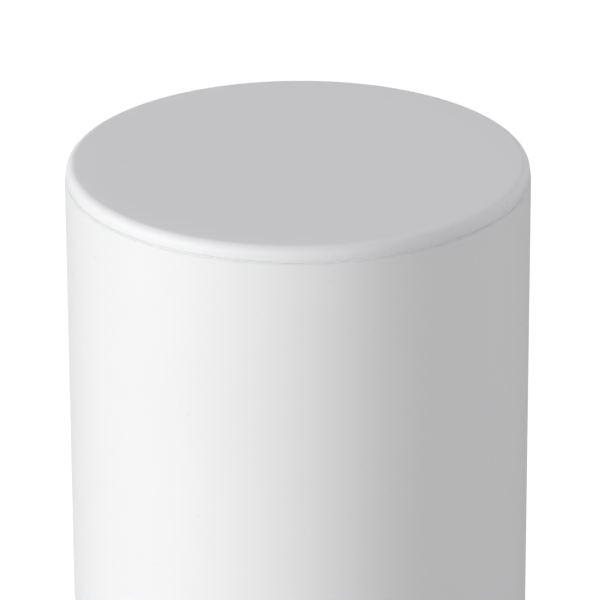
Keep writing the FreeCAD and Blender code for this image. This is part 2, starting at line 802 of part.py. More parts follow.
def led_chips():
    """Rows of light-emitting packages on the boards."""
    inner = COLUMN_ACROSS_FLATS / 2 + PAD_THICK + BOARD_THICK
    middle = NECK_FOOT + COLUMN_LENGTH / 2
    chips = []
    for step in range(CHIPS_PER_BOARD):
        height = middle + (step - (CHIPS_PER_BOARD - 1) / 2) * CHIP_PITCH
        chip = Part.makeBox(
            CHIP_THICK, CHIP_WIDTH, CHIP_LENGTH, V(inner, -CHIP_WIDTH / 2, height - CHIP_LENGTH / 2)
        )
        chips += around(chip, 6)
    return Part.makeCompound(chips)


def board_screws():
    """Small screws that hold the boards on the column."""
    face = COLUMN_ACROSS_FLATS / 2 + PAD_THICK + BOARD_THICK
    screws = []
    for height in board_screw_heights():
        screw = aimed(small_screw(BOARD_SCREW_LENGTH), V(face, 0, height), V(1, 0, 0))
        screws += around(screw, 6)
    return Part.makeCompound(screws)


def column_screws():
    """Like screws at both ends of the column: through the flange floor and the top plate."""
    screws = []
    for height, way in ((POST_TOP, -1), (HUB_BOARD_FOOT, 1)):
        place = V(COLUMN_CHANNEL_OFFSET, 0, height)
        screw = aimed(middle_screw(COLUMN_SCREW_LENGTH), place, V(0, 0, way))
        screws += around(screw, COLUMN_CHANNEL_COUNT, COLUMN_FIRST_ANGLE)
    return Part.makeCompound(screws)


def column_top_plate():
    """Plate that closes the column and holds the hub board."""
    plate = hexagon(COLUMN_ACROSS_FLATS, COLUMN_TOP, HUB_BOARD_FOOT, LED_LEAD_RADIUS + 1.5)
    plate = without(plate, channel_bores(COLUMN_TOP - 1, HUB_BOARD_FOOT + 1, 2.2))
    below, above = V(HUB_SCREW_OFFSET, 0, COLUMN_TOP - 1), V(HUB_SCREW_OFFSET, 0, HUB_BOARD_FOOT + 1)
    return without(plate, around(rod(SMALL_SCREW_RADIUS + THREAD_FIT, below, above), 3, 90.0))


def hub_board():
    """Round board that shares the current between the six strips."""
    top = HUB_BOARD_FOOT + BOARD_THICK
    board = tube(HUB_BOARD_RADIUS, LED_LEAD_RADIUS + 1.0, HUB_BOARD_FOOT, top)
    cuts = []
    for offset, radius, first in ((COLUMN_CHANNEL_OFFSET, 4.2, 30.0), (HUB_SCREW_OFFSET, 1.6, 90.0)):
        hole = rod(radius, V(offset, 0, HUB_BOARD_FOOT - 1), V(offset, 0, top + 1))
        cuts += around(hole, 3, first)
    return without(board, cuts)


def small_screws():
    """Like screws that hold the hub board, the surge protector and the terminal rail."""
    screw = small_screw(SMALL_SCREW_LENGTH)
    hub_place = V(HUB_SCREW_OFFSET, 0, HUB_BOARD_FOOT + BOARD_THICK)
    screws = around(aimed(screw, hub_place, V(0, 0, 1)), 3, 90.0)
    for height in surge_ear_heights():
        place = V(0, TRAY_FRONT + TRAY_THICK + SURGE_EAR, height)
        screws.append(aimed(screw, place, V(0, 1, 0)))
    for x in rail_screw_places():
        place = V(x, RAIL_BACK + RAIL_THICK, BOX_MIDDLE)
        screws.append(aimed(screw, place, V(0, 1, 0)))
    return Part.makeCompound(screws)


def lead_connector():
    """Connector block on the hub board over the end of the lead."""
    foot = HUB_BOARD_FOOT + BOARD_THICK
    corners = rectangle(CONNECTOR_SIZE, CONNECTOR_SIZE, 1.0)
    return extruded(corners, in_plan, V(0, 0, foot), V(0, 0, CONNECTOR_HEIGHT))


def led_lead():
    """Lead from the driver, up the hollow core of the column, to the connector."""
    foot = DRIVER_TOP + DRIVER_COVER
    return rod(LED_LEAD_RADIUS, V(0, 0, foot), V(0, 0, HUB_BOARD_FOOT + BOARD_THICK))


# ---------------------------------------------------------------- gear tray


def tray_screw_places():
    return (-TRAY_WIDTH / 2 + TRAY_SCREW_INSET, TRAY_WIDTH / 2 - TRAY_SCREW_INSET)


def tray_screw_front():
    return TRAY_FRONT + TRAY_TAB / 2 + 1.0


def driver_ear_heights():
    reach = DRIVER_COVER + DRIVER_EAR_REACH
    return (DRIVER_BOTTOM - reach, DRIVER_TOP + reach)


def gear_tray():
    """Bent sheet that hangs from the flange and carries the driver and the surge protector."""
    back = TRAY_FRONT + TRAY_THICK
    profile = [
        (TRAY_FRONT, POST_TOP, 3.0),
        (TRAY_FRONT, POST_TOP - TRAY_LENGTH),
        (back, POST_TOP - TRAY_LENGTH),
        (back, POST_TOP - TRAY_THICK, 1.0),
        (TRAY_FRONT + TRAY_TAB, POST_TOP - TRAY_THICK),
        (TRAY_FRONT + TRAY_TAB, POST_TOP),
    ]
    sheet = extruded(profile, in_side_view, V(-TRAY_WIDTH / 2, 0, 0), V(TRAY_WIDTH, 0, 0))
    room = FLANGE_SKIRT_RADIUS - FLANGE_SKIRT_WALL - TRAY_FIT
    sheet = sheet.common(rod(room, V(0, 0, POST_TOP - TRAY_LENGTH - 1), V(0, 0, POST_TOP + 1)))
    head = V(COLUMN_CHANNEL_OFFSET, 0, POST_TOP)
    head_hole = rod(MIDDLE_SCREW_HEAD_RADIUS + 0.4, head - V(0, 0, 8), head + V(0, 0, 1))
    holes = around(head_hole, COLUMN_CHANNEL_COUNT, COLUMN_FIRST_ANGLE)
    for x in tray_screw_places():
        place = V(x, tray_screw_front(), POST_TOP - TRAY_THICK - 1)
        holes.append(rod(CARRIER_SCREW_RADIUS + 0.2, place, place + V(0, 0, TRAY_THICK + 2)))
    for height in driver_ear_heights() + (clip_height(),):
        start, end = V(0, TRAY_FRONT - 1, height), V(0, back + 1, height)
        holes.append(rod(MIDDLE_SCREW_RADIUS + THREAD_FIT, start, end))
    for height in surge_ear_heights():
        start, end = V(0, TRAY_FRONT - 1, height), V(0, back + 1, height)
        holes.append(rod(SMALL_SCREW_RADIUS + THREAD_FIT, start, end))
    slot = rectangle(16.0, 30.0, 8.0, 28.0, POST_TOP - TRAY_LENGTH / 2)
    for side in mirrored_x(extruded(slot, in_front_view, V(0, -60, 0), V(0, 120, 0))):
        holes.append(side)
    return without(sheet, holes)


def carrier_screws():
    """Like screws that hang the tray from the flange and hold the box on its crossbars."""
    screw = carrier_screw()
    screws = []
    for x in tray_screw_places():
        place = V(x, tray_screw_front(), POST_TOP - TRAY_THICK)
        screws.append(aimed(screw, place, V(0, 0, -1)))
    for place in box_screw_places():
        screws.append(aimed(screw, place + V(0, BOX_WALL, 0), V(0, 1, 0)))
    return Part.makeCompound(screws)


def led_driver():
    """Constant-current driver in its extruded case, with a screw ear at each end."""
    corners = rectangle(DRIVER_WIDTH, DRIVER_DEPTH, DRIVER_CORNER)
    case = extruded(corners, in_plan, V(0, 0, DRIVER_BOTTOM), V(0, 0, DRIVER_LENGTH))
    grooves = []
    for index in range(DRIVER_GROOVE_COUNT):
        x = (index - (DRIVER_GROOVE_COUNT - 1) / 2) * DRIVER_GROOVE_PITCH
        corner = V(x - DRIVER_GROOVE_WIDTH / 2, -DRIVER_DEPTH / 2 - 0.1, DRIVER_BOTTOM - 1)
        groove = Part.makeBox(DRIVER_GROOVE_WIDTH, DRIVER_GROOVE_DEPTH, DRIVER_LENGTH + 2, corner)
        grooves.append(groove)
    return without(case, grooves)


def driver_end_covers():
    """Terminal covers at both ends of the driver, each with a screw ear and a cable hole."""
    covers = []
    ears = driver_ear_heights()
    for foot, ear, hole_radius in (
        (DRIVER_BOTTOM - DRIVER_COVER, ears[0], RISER_CABLE_RADIUS + WELD_FIT),
        (DRIVER_TOP, ears[1], LED_LEAD_RADIUS + WELD_FIT),
    ):
        corners = rectangle(DRIVER_WIDTH, DRIVER_DEPTH, DRIVER_CORNER)
        block = extruded(corners, in_plan, V(0, 0, foot), V(0, 0, DRIVER_COVER))
        low, high = min(foot, ear - 6), max(foot + DRIVER_COVER, ear + 6)
        tab = Part.makeBox(
            DRIVER_EAR_WIDTH,
            DRIVER_EAR,
            high - low,
            V(-DRIVER_EAR_WIDTH / 2, TRAY_FRONT - DRIVER_EAR, low),
        )
        screw_hole = rod(2.2, V(0, TRAY_FRONT - 5, ear), V(0, TRAY_FRONT + 1, ear))
        outside = foot if foot < DRIVER_BOTTOM else foot + DRIVER_COVER - 10
        cable_hole = rod(hole_radius, V(0, 0, outside - 1), V(0, 0, outside + 11))
        covers.append(without(joined(block, [tab]), [screw_hole, cable_hole]))
    return Part.makeCompound(covers)


def driver_screws():
    """Screws through the driver's ears into the tray."""
    screws = []
    for height in driver_ear_heights():
        place = V(0, TRAY_FRONT - DRIVER_EAR, height)
        screws.append(aimed(middle_screw(DRIVER_SCREW_LENGTH), place, V(0, -1, 0)))
    return Part.makeCompound(screws)


def surge_ear_heights():
    top = POST_TOP - SURGE_DROP
    reach = SURGE_EAR_REACH / 2
    return (top - SURGE_HEIGHT - reach, top + reach)


def surge_protector():
    """Surge protection module on the back of the tray."""
    back = TRAY_FRONT + TRAY_THICK
    middle = POST_TOP - SURGE_DROP - SURGE_HEIGHT / 2
    block = upright_block(SURGE_WIDTH, SURGE_HEIGHT, 2.0, back, back + SURGE_DEPTH, middle)
    ear_height = SURGE_HEIGHT + 2 * SURGE_EAR_REACH
    ears = upright_block(SURGE_EAR_WIDTH, ear_height, 3.0, back, back + SURGE_EAR, middle)
    holes = []
    for height in surge_ear_heights():
        holes.append(rod(1.7, V(0, back - 1, height), V(0, back + 4, height)))
    return without(joined(block, [ears]), holes)


def clip_height():
    return POST_TOP - TRAY_LENGTH + 8.0


def cable_clip():
    """P-clip that holds the riser cable against the foot of the tray."""
    wall = 1.5
    middle = clip_height()
    bore = RISER_CABLE_RADIUS + WELD_FIT
    loop = rod(bore + wall, V(0, 0, middle - 5), V(0, 0, middle + 5))
    arm = Part.makeBox(8.0, TRAY_FRONT - bore, 10.0, V(-4.0, bore, middle - 5))
    channel = rod(MIDDLE_SCREW_RADIUS + THREAD_FIT, V(0, bore, middle), V(0, TRAY_FRONT + 1, middle))
    clip = joined(loop, [arm])
    return without(clip, [rod(bore, V(0, 0, middle - 6), V(0, 0, middle + 6)), channel])


def clip_screw():
    """Screw from the back of the tray into the clip's arm."""
    place = V(0, TRAY_FRONT + TRAY_THICK, clip_height())
    return aimed(middle_screw(CLIP_SCREW_LENGTH), place, V(0, 1, 0))


# ---------------------------------------------------------------- post and base


def base_plate():
    """Round mounting plate with anchor holes, a cable hole and the weld bead round the post."""
    plate = turned(
        [
            (CABLE_HOLE_RADIUS, 0, 1.0),
            (PLATE_RADIUS, 0, 1.0),
            (PLATE_RADIUS, PLATE_THICK, 1.0),
            (BODY_RADIUS + WELD_LEG, PLATE_THICK),
            (BODY_RADIUS + WELD_FIT, PLATE_THICK + WELD_LEG),
            (BODY_RADIUS + WELD_FIT, PLATE_THICK),
            (CABLE_HOLE_RADIUS, PLATE_THICK, 1.0),
        ]
    )
    below, above = V(BOLT_CIRCLE_RADIUS, 0, -1), V(BOLT_CIRCLE_RADIUS, 0, PLATE_THICK + 1)
    hole = rod(BOLT_HOLE_RADIUS, below, above)
    return without(plate, around(hole, BOLT_COUNT, BOLT_FIRST_ANGLE))


def door_cutter(margin, end_margin, inner, outer, radius):
    """Block that reaches outwards along +Y through the door's rounded outline, less the margins."""
    width, height = DOOR_WIDTH - 2 * margin, DOOR_HEIGHT - 2 * end_margin
    corners = rectangle(width, height, radius, 0, DOOR_MIDDLE)
    return extruded(corners, in_front_view, V(0, inner, 0), V(0, outer - inner, 0))


def post_tube():
    """Extruded post with the door opening and the countersunk holes near its top."""
    post = tube(BODY_RADIUS, POST_BORE, PLATE_THICK, POST_TOP)
    height = POST_TOP - FLANGE_SCREW_DROP
    sink = turned(
        [
            (0, -POST_WALL - 2),
            (FLANGE_SCREW_RADIUS + 0.25, -POST_WALL - 2),
            (FLANGE_SCREW_RADIUS + 0.25, -COUNTERSINK_DEPTH),
            (COUNTERSINK_RADIUS, 0),
            (COUNTERSINK_RADIUS, 3),
            (0, 3),
        ]
    )
    sink = aimed(sink, V(BODY_RADIUS - 0.25, 0, height), V(1, 0, 0))
    opening = door_cutter(0, 0, 10, BODY_RADIUS + 5, DOOR_CORNER)
    return without(post, [opening] + at_angles(sink, FLANGE_SCREW_ANGLES))


def base_cover():
    """Loose cover that hides the plate and its bolts, and slides up the post."""
    rim_bore = PLATE_RADIUS + COVER_RIM_FIT
    rim = rim_bore + COVER_WALL
    bore = BODY_RADIUS + COVER_FIT
    collar = bore + COVER_COLLAR_WALL
    ledge = PLATE_RADIUS - COVER_LEDGE
    cover = turned(
        [
            (rim_bore, COVER_GROUND_GAP),
            (rim, COVER_GROUND_GAP, 0.8),
            (rim, COVER_SHOULDER_HEIGHT, COVER_SHOULDER_ROUND),
            (collar, COVER_COLLAR_FOOT, COVER_NECK_ROUND),
            (collar, COVER_COLLAR_TOP, 1.5),
            (bore, COVER_COLLAR_TOP, 0.8),
            (bore, COVER_COLLAR_FOOT - COVER_WALL),
            (ledge, COVER_SHOULDER_HEIGHT - COVER_WALL, 6.0),
            (ledge, PLATE_THICK),
            (rim_bore, PLATE_THICK),
        ]
    )
    height = (COVER_COLLAR_FOOT + COVER_COLLAR_TOP) / 2 + 1.0
    hole = rod(COVER_SCREW_RADIUS + THREAD_FIT, V(bore - 2, 0, height), V(collar + 2, 0, height))
    return without(cover, around(hole, COVER_SCREW_COUNT, COVER_SCREW_FIRST_ANGLE))


def cover_grub_screws():
    """Headless screws that lock the cover to the post."""
    bore = BODY_RADIUS + COVER_FIT
    collar = bore + COVER_COLLAR_WALL
    height = (COVER_COLLAR_FOOT + COVER_COLLAR_TOP) / 2 + 1.0
    screw = grub_screw(COVER_SCREW_RADIUS, collar - bore - 0.3, COVER_SCREW_SOCKET)
    screw = aimed(screw, V(collar - 0.2, 0, height), V(1, 0, 0))
    return Part.makeCompound(around(screw, COVER_SCREW_COUNT, COVER_SCREW_FIRST_ANGLE))


# ---------------------------------------------------------------- service door


def door_screw_heights():
    reach = DOOR_HEIGHT / 2 - DOOR_SCREW_INSET
    return (DOOR_MIDDLE - reach, DOOR_MIDDLE + reach)


def door_frame():
    """Curved ledge welded inside the opening, which the door closes against."""
    top = DOOR_FOOT + DOOR_HEIGHT
    shell = tube(FRAME_OUTER_RADIUS, FRAME_INNER_RADIUS, DOOR_FOOT - 40, top + 40)
    margin = -FRAME_MARGIN
    outline = door_cutter(margin, margin, 10, BODY_RADIUS, DOOR_CORNER + FRAME_MARGIN)
    window = door_cutter(FRAME_SIDE_LEDGE, FRAME_END_LEDGE, 0, BODY_RADIUS + 5, 8.0)
    holes = []
    for height in door_screw_heights():
        holes.append(rod(DOOR_SCREW_RADIUS + 0.4, V(0, 50, height), V(0, BODY_RADIUS, height)))
    return without(shell.common(outline), [window] + holes)


def door_nuts():
    """Nuts welded behind the frame for the door's screws."""
    face = math.sqrt(FRAME_INNER_RADIUS**2 - (DOOR_NUT_ACROSS_FLATS / math.sqrt(3)) ** 2) - 0.05
    nut = hexagon(DOOR_NUT_ACROSS_FLATS, 0, DOOR_NUT_THICK, DOOR_SCREW_RADIUS + THREAD_FIT)
    nuts = [aimed(nut, V(0, face, height), V(0, -1, 0)) for height in door_screw_heights()]
    return Part.makeCompound(nuts)


def door_panel():
    """Curved door, flush with the post, with a spot face round each screw."""
    shell = tube(BODY_RADIUS, BODY_RADIUS - DOOR_THICK, DOOR_FOOT, DOOR_FOOT + DOOR_HEIGHT)
    panel = shell.common(door_cutter(DOOR_GAP, DOOR_GAP, 10, BODY_RADIUS + 5, DOOR_CORNER - DOOR_GAP))
    cuts = []
    seat = BODY_RADIUS - DOOR_SPOTFACE
    for height in door_screw_heights():
        cuts.append(rod(DOOR_SCREW_RADIUS + 0.3, V(0, 50, height), V(0, BODY_RADIUS + 5, height)))
        spot = rod(DOOR_SCREW_HEAD_RADIUS + 1.0, V(0, seat, height), V(0, BODY_RADIUS + 5, height))
        cuts.append(spot)
    return without(panel, cuts)


def door_seal():
    """Foam ring on the back of the door."""
    inner = FRAME_OUTER_RADIUS + DOOR_SEAL_GAP
    outer = BODY_RADIUS - DOOR_THICK
    shell = tube(outer, inner, DOOR_FOOT, DOOR_FOOT + DOOR_HEIGHT)
    inset = DOOR_SEAL_INSET
    ring = shell.common(door_cutter(inset, inset, 10, BODY_RADIUS, DOOR_CORNER - inset))
    window = door_cutter(FRAME_SIDE_LEDGE, FRAME_END_LEDGE - 2, 0, BODY_RADIUS + 5, 8.0)
    holes = []
    for height in door_screw_heights():
        holes.append(rod(DOOR_SCREW_RADIUS + 3.0, V(0, 50, height), V(0, BODY_RADIUS, height)))
    return without(ring, [window] + holes)


def door_screw(height):
    """Captive screw with a low domed head."""
    screw = pan_screw(
        DOOR_SCREW_RADIUS, DOOR_SCREW_LENGTH, DOOR_SCREW_HEAD_RADIUS, DOOR_SCREW_HEAD, DOOR_SCREW_SOCKET
    )
    return aimed(screw, V(0, BODY_RADIUS - DOOR_SPOTFACE, height), V(0, 1, 0))


def door_screw_retainers():
    """Nylon washers behind the door that keep its screws captive."""
    washer_radius = DOOR_SCREW_RADIUS + DOOR_WASHER_WIDTH
    outer_face = math.sqrt((BODY_RADIUS - DOOR_THICK) ** 2 - washer_radius**2) - 0.02
    washer = tube(washer_radius, DOOR_SCREW_RADIUS + 0.08, 0, 0.5)
    washers = [aimed(washer, V(0, outer_face, height), V(0, -1, 0)) for height in door_screw_heights()]
    return Part.makeCompound(washers)


# ---------------------------------------------------------------- connection box


def box_screw_places():
    places = []
    for height in crossbar_heights():
        for x in (-BOX_SCREW_INSET, BOX_SCREW_INSET):
            places.append(V(x, BOX_BACK, height))
    return places


def crossbar_heights():
    return (BOX_FOOT + CROSSBAR_INSET, BOX_TOP - CROSSBAR_INSET)


def crossbars():
    """Two flat bars welded across the inside of the post."""
    bore = rod(POST_BORE - WELD_FIT, V(0, 0, BOX_FOOT - 50), V(0, 0, BOX_TOP + 50))
    bars = []
    for height in crossbar_heights():
        bar = Part.makeBox(
            2 * POST_BORE, CROSSBAR_THICK, CROSSBAR_HEIGHT,
            V(-POST_BORE, BOX_BACK - CROSSBAR_THICK, height - CROSSBAR_HEIGHT / 2),
        )
        bars.append(bar.common(bore))
    holes = []
    for place in box_screw_places():
        holes.append(rod(CARRIER_SCREW_RADIUS + THREAD_FIT, place - V(0, 10, 0), place + V(0, 5, 0)))
    stud = earth_stud_place()
    holes.append(rod(EARTH_STUD_RADIUS + THREAD_FIT, stud - V(0, 10, 0), stud + V(0, 5, 0)))
    return Part.makeCompound([without(bar, holes) for bar in bars])


def lid_screw_places():
    half_width = BOX_WIDTH / 2 - LID_SCREW_INSET
    half_height = BOX_HEIGHT / 2 - LID_SCREW_INSET
    signs = ((-1, -1), (1, -1), (1, 1), (-1, 1))
    return [(a * half_width, BOX_MIDDLE + b * half_height) for a, b in signs]


def gland_places():
    """Each gland's thread radius, cable radius, place on the box wall and direction."""
    down, up = V(0, 0, -1), V(0, 0, 1)
    return [
        (SUPPLY_THREAD_RADIUS, SUPPLY_CABLE_RADIUS, V(-SUPPLY_OFFSET, GLAND_FRONT, BOX_FOOT), down),
        (SUPPLY_THREAD_RADIUS, SUPPLY_CABLE_RADIUS, V(SUPPLY_OFFSET, GLAND_FRONT, BOX_FOOT), down),
        (EARTH_THREAD_RADIUS, EARTH_LEAD_RADIUS + WELD_FIT, V(0, GLAND_FRONT, BOX_FOOT), down),
        (RISER_THREAD_RADIUS, RISER_CABLE_RADIUS + WELD_FIT, V(RISER_OFFSET, GLAND_FRONT, BOX_TOP), up),
    ]


def connection_box():
    """Open box with a boss in each corner, and holes for its glands and screws."""
    outer = upright_block(BOX_WIDTH, BOX_HEIGHT, BOX_CORNER, BOX_BACK, BOX_FRONT, BOX_MIDDLE)
    inner = upright_block(
        BOX_WIDTH - 2 * BOX_WALL, BOX_HEIGHT - 2 * BOX_WALL, BOX_INNER_CORNER,
        BOX_BACK + BOX_WALL, BOX_FRONT + 1, BOX_MIDDLE,
    )
    box = outer.cut(inner)
    bosses, holes = [], []
    boss_radius = LID_SCREW_INSET - BOX_WALL + 0.5
    for x, z in lid_screw_places():
        bosses.append(rod(boss_radius, V(x, BOX_FRONT - LID_BOSS_DEPTH, z), V(x, BOX_FRONT, z)))
        drill = LID_SCREW_RADIUS + THREAD_FIT
        holes.append(rod(drill, V(x, BOX_FRONT - LID_BOSS_DEPTH + 1, z), V(x, BOX_FRONT + 1, z)))
    for thread, _, place, direction in gland_places():
        holes.append(rod(thread + WELD_FIT, place - direction * 10, place + direction * 2))
    for place in box_screw_places():
        holes.append(rod(CARRIER_SCREW_RADIUS + 0.1, place - V(0, 2, 0), place + V(0, BOX_WALL + 2, 0)))
    for x in rail_screw_places():
        blind, seat = V(x, BOX_BACK + 1, BOX_MIDDLE), V(x, RAIL_BACK, BOX_MIDDLE)
        bosses.append(rod(4.0, blind, seat))
        holes.append(rod(SMALL_SCREW_RADIUS + THREAD_FIT, blind, seat + V(0, 1, 0)))
    return without(joined(box, bosses), holes)


def box_seal():
    """Flat gasket between the box and its lid."""
    outer = upright_block(BOX_WIDTH, BOX_HEIGHT, BOX_CORNER, BOX_FRONT, LID_BACK, BOX_MIDDLE)
    inner = upright_block(
        BOX_WIDTH - 2 * LID_SEAL_WIDTH, BOX_HEIGHT - 2 * LID_SEAL_WIDTH, BOX_INNER_CORNER,
        BOX_FRONT - 1, LID_BACK + 1, BOX_MIDDLE,
    )
    return outer.cut(inner)


def box_lid():
    """Clear lid with raised middle and four screw holes."""
    step = LID_BACK + LID_THICK / 2
    plate = upright_block(BOX_WIDTH, BOX_HEIGHT, BOX_CORNER, LID_BACK, step, BOX_MIDDLE)
    panel = upright_block(
        BOX_WIDTH - 8, BOX_HEIGHT - 36, 4.0, LID_BACK + 1, LID_BACK + LID_THICK, BOX_MIDDLE
    )
    hollow = upright_block(
        BOX_WIDTH - 12, BOX_HEIGHT - 40, 3.0, LID_BACK - 1, LID_BACK + LID_THICK - 2, BOX_MIDDLE
    )
    holes = []
    for x, z in lid_screw_places():
        front = LID_BACK + LID_THICK + 1
        holes.append(rod(LID_SCREW_RADIUS + 0.2, V(x, LID_BACK - 1, z), V(x, front, z)))
    return without(joined(plate, [panel]), [hollow] + holes)


def lid_screws():
    """Screws at the corners of the lid."""
    screw = pan_screw(
        LID_SCREW_RADIUS, LID_SCREW_LENGTH, LID_SCREW_HEAD_RADIUS, LID_SCREW_HEAD, LID_SCREW_SOCKET
    )
    screws = []
    for x, z in lid_screw_places():
        place = V(x, LID_BACK + LID_THICK / 2, z)
        screws.append(aimed(screw, place, V(0, 1, 0)))
    return Part.makeCompound(screws)


def gland_hex(thread):
    return thread * GLAND_HEX_RATIO


def gland_parts(kind):
    """One kind of gland piece, at each of the box's cable entries."""
    pieces = []
    for thread, bore, place, direction in gland_places():
        neck = thread - 0.5
        seat = bore + 2.0
        if kind == "body":
            piece = hexagon(gland_hex(thread), 0, GLAND_HEX)
            piece = joined(piece, [rod(thread, V(0, 0, -BOX_WALL - 7), V(0, 0, 1))])
            piece = joined(piece, [rod(neck, V(0, 0, GLAND_HEX - 1), V(0, 0, GLAND_NECK))])
            piece = piece.cut(rod(bore + 0.8, V(0, 0, -20), V(0, 0, 30)))
            piece = piece.cut(rod(seat + THREAD_FIT, V(0, 0, GLAND_SEAT), V(0, 0, 30)))
        elif kind == "insert":
            piece = tube(seat, bore, GLAND_SEAT, GLAND_SEAT + GLAND_INSERT)
        elif kind == "nut":
            outer = gland_hex(thread) / 2
            piece = turned(
                [
                    (neck + 0.1, GLAND_HEX + 0.5),
                    (outer, GLAND_HEX + 0.5),
                    (outer, GLAND_END, 4.0),
                    (bore + 0.6, GLAND_END),
                    (bore + 0.6, GLAND_SEAT + GLAND_INSERT),
                    (neck + 0.1, GLAND_SEAT + GLAND_INSERT),
                ]
            )
            flats = hexagon(gland_hex(thread), 0, 40)
            piece = piece.common(flats.fuse(rod(outer, V(0, 0, 12), V(0, 0, 40))))
        else:
            piece = hexagon(gland_hex(thread) + LOCKNUT_EXTRA, -BOX_WALL - GLAND_LOCKNUT, -BOX_WALL)
            piece = piece.cut(rod(thread + THREAD_FIT, V(0, 0, -20), V(0, 0, 5)))
        pieces.append(aimed(piece, place, direction))
    return Part.makeCompound(pieces)


def rail_screw_places():
    return (-RAIL_LENGTH / 2 + 5, RAIL_LENGTH / 2 - 5)


def din_rail():
    """Hat-section rail screwed to two bosses on the back of the box."""
    back, front = RAIL_BACK, RAIL_FRONT
    half, inner_half = RAIL_HEIGHT / 2, RAIL_HEIGHT / 2 - 5.0
    section = [
        (back, BOX_MIDDLE - inner_half - RAIL_THICK),
        (front - RAIL_THICK, BOX_MIDDLE - inner_half - RAIL_THICK),
        (front - RAIL_THICK, BOX_MIDDLE - half),
        (front, BOX_MIDDLE - half),
        (front, BOX_MIDDLE - inner_half),
        (back + RAIL_THICK, BOX_MIDDLE - inner_half),
        (back + RAIL_THICK, BOX_MIDDLE + inner_half),
        (front, BOX_MIDDLE + inner_half),
        (front, BOX_MIDDLE + half),
        (front - RAIL_THICK, BOX_MIDDLE + half),
        (front - RAIL_THICK, BOX_MIDDLE + inner_half + RAIL_THICK),
        (back, BOX_MIDDLE + inner_half + RAIL_THICK),
    ]
    rail = extruded(section, in_side_view, V(-RAIL_LENGTH / 2, 0, 0), V(RAIL_LENGTH, 0, 0))
    holes = []
    for x in rail_screw_places():
        holes.append(rod(1.7, V(x, back - 2, BOX_MIDDLE), V(x, back + 6, BOX_MIDDLE)))
    return without(rail, holes)


def terminal_row_start():
    return -RAIL_LENGTH / 2 + TERMINAL_ROW_INSET


def terminal_blocks():
    """Row of feed-through terminals clipped on the rail."""
    front = RAIL_FRONT
    end = front + TERMINAL_DEPTH
    block = upright_block(TERMINAL_WIDTH - TERMINAL_GAP, TERMINAL_HEIGHT, 1.0, front, end, BOX_MIDDLE)
    cuts = []
    for side in (-1, 1):
        z = BOX_MIDDLE + side * (TERMINAL_HEIGHT / 2 - 8)
        cuts.append(rod(TERMINAL_HOLE_RADIUS, V(0, end - 6, z), V(0, end + 1, z)))
        mouth = BOX_MIDDLE + side * TERMINAL_HEIGHT / 2
        inside, outside = V(0, front + 12, mouth - side * 8), V(0, front + 12, mouth + side)
        cuts.append(rod(TERMINAL_HOLE_RADIUS, inside, outside))
    block = without(block, cuts)
    blocks = []
    for index in range(TERMINAL_COUNT):
        copy = block.copy()
        copy.translate(V(terminal_row_start() + (index + 0.5) * TERMINAL_WIDTH, 0, 0))
        blocks.append(copy)
    return Part.makeCompound(blocks)


def fuse_middle():
    return terminal_row_start() + TERMINAL_COUNT * TERMINAL_WIDTH + FUSE_TERMINAL_WIDTH / 2


def fuse_terminal():
    """Wider terminal with a pocket for the fuse."""
    front = RAIL_FRONT
    end = front + TERMINAL_DEPTH
    width = FUSE_TERMINAL_WIDTH - TERMINAL_GAP
    block = upright_block(width, TERMINAL_HEIGHT, 1.0, front, end, BOX_MIDDLE)
    pocket = upright_block(
        2 * FUSE_RADIUS + 0.4, FUSE_LENGTH + 0.4, 0.3,
        end - 2 * FUSE_RADIUS - 1, end + 1, BOX_MIDDLE,
    )
    block = block.cut(pocket)
    block.translate(V(fuse_middle(), 0, 0))
    return block


def fuse_link():
    """Glass cartridge fuse with its two end caps."""
    y = RAIL_FRONT + TERMINAL_DEPTH - FUSE_RADIUS - 0.9
    low, high = BOX_MIDDLE - FUSE_LENGTH / 2, BOX_MIDDLE + FUSE_LENGTH / 2
    body = rod(FUSE_RADIUS - 0.3, V(fuse_middle(), y, low), V(fuse_middle(), y, high))
    ends = []
    for foot in (low, high - 5):
        ends.append(rod(FUSE_RADIUS, V(fuse_middle(), y, foot), V(fuse_middle(), y, foot + 5)))
    return joined(body, ends)


def earth_stud_place():
    return V(EARTH_STUD_OFFSET, BOX_BACK, crossbar_heights()[0])


def earth_stud():
    """Threaded stud in the lower crossbar."""
    place = earth_stud_place()
    back, front = place - V(0, CROSSBAR_THICK, 0), place + V(0, EARTH_STUD_LENGTH, 0)
    return rod(EARTH_STUD_RADIUS, back, front)


def lug_back():
    return BOX_BACK + EARTH_NUT_THICK + EARTH_WASHER_THICK


def earth_nuts():
    """Nut on each side of the lug."""
    nut = hexagon(EARTH_NUT_ACROSS_FLATS, 0, EARTH_NUT_THICK, EARTH_STUD_RADIUS + THREAD_FIT)
    place = earth_stud_place()
    front = lug_back() + LUG_THICK + EARTH_WASHER_THICK
    nuts = []
    for y in (BOX_BACK, front):
        nuts.append(aimed(nut, V(place.x, y, place.z), V(0, 1, 0)))
    return Part.makeCompound(nuts)


def earth_washers():
    """Washer on each side of the lug."""
    washer = tube(EARTH_WASHER_RADIUS, EARTH_STUD_RADIUS + 0.2, 0, EARTH_WASHER_THICK)
    place = earth_stud_place()
    washers = []
    for y in (lug_back() - EARTH_WASHER_THICK, lug_back() + LUG_THICK):
        washers.append(aimed(washer, V(place.x, y, place.z), V(0, 1, 0)))
    return Part.makeCompound(washers)


def lug_barrel_top():
    return earth_stud_place().z - LUG_DROP


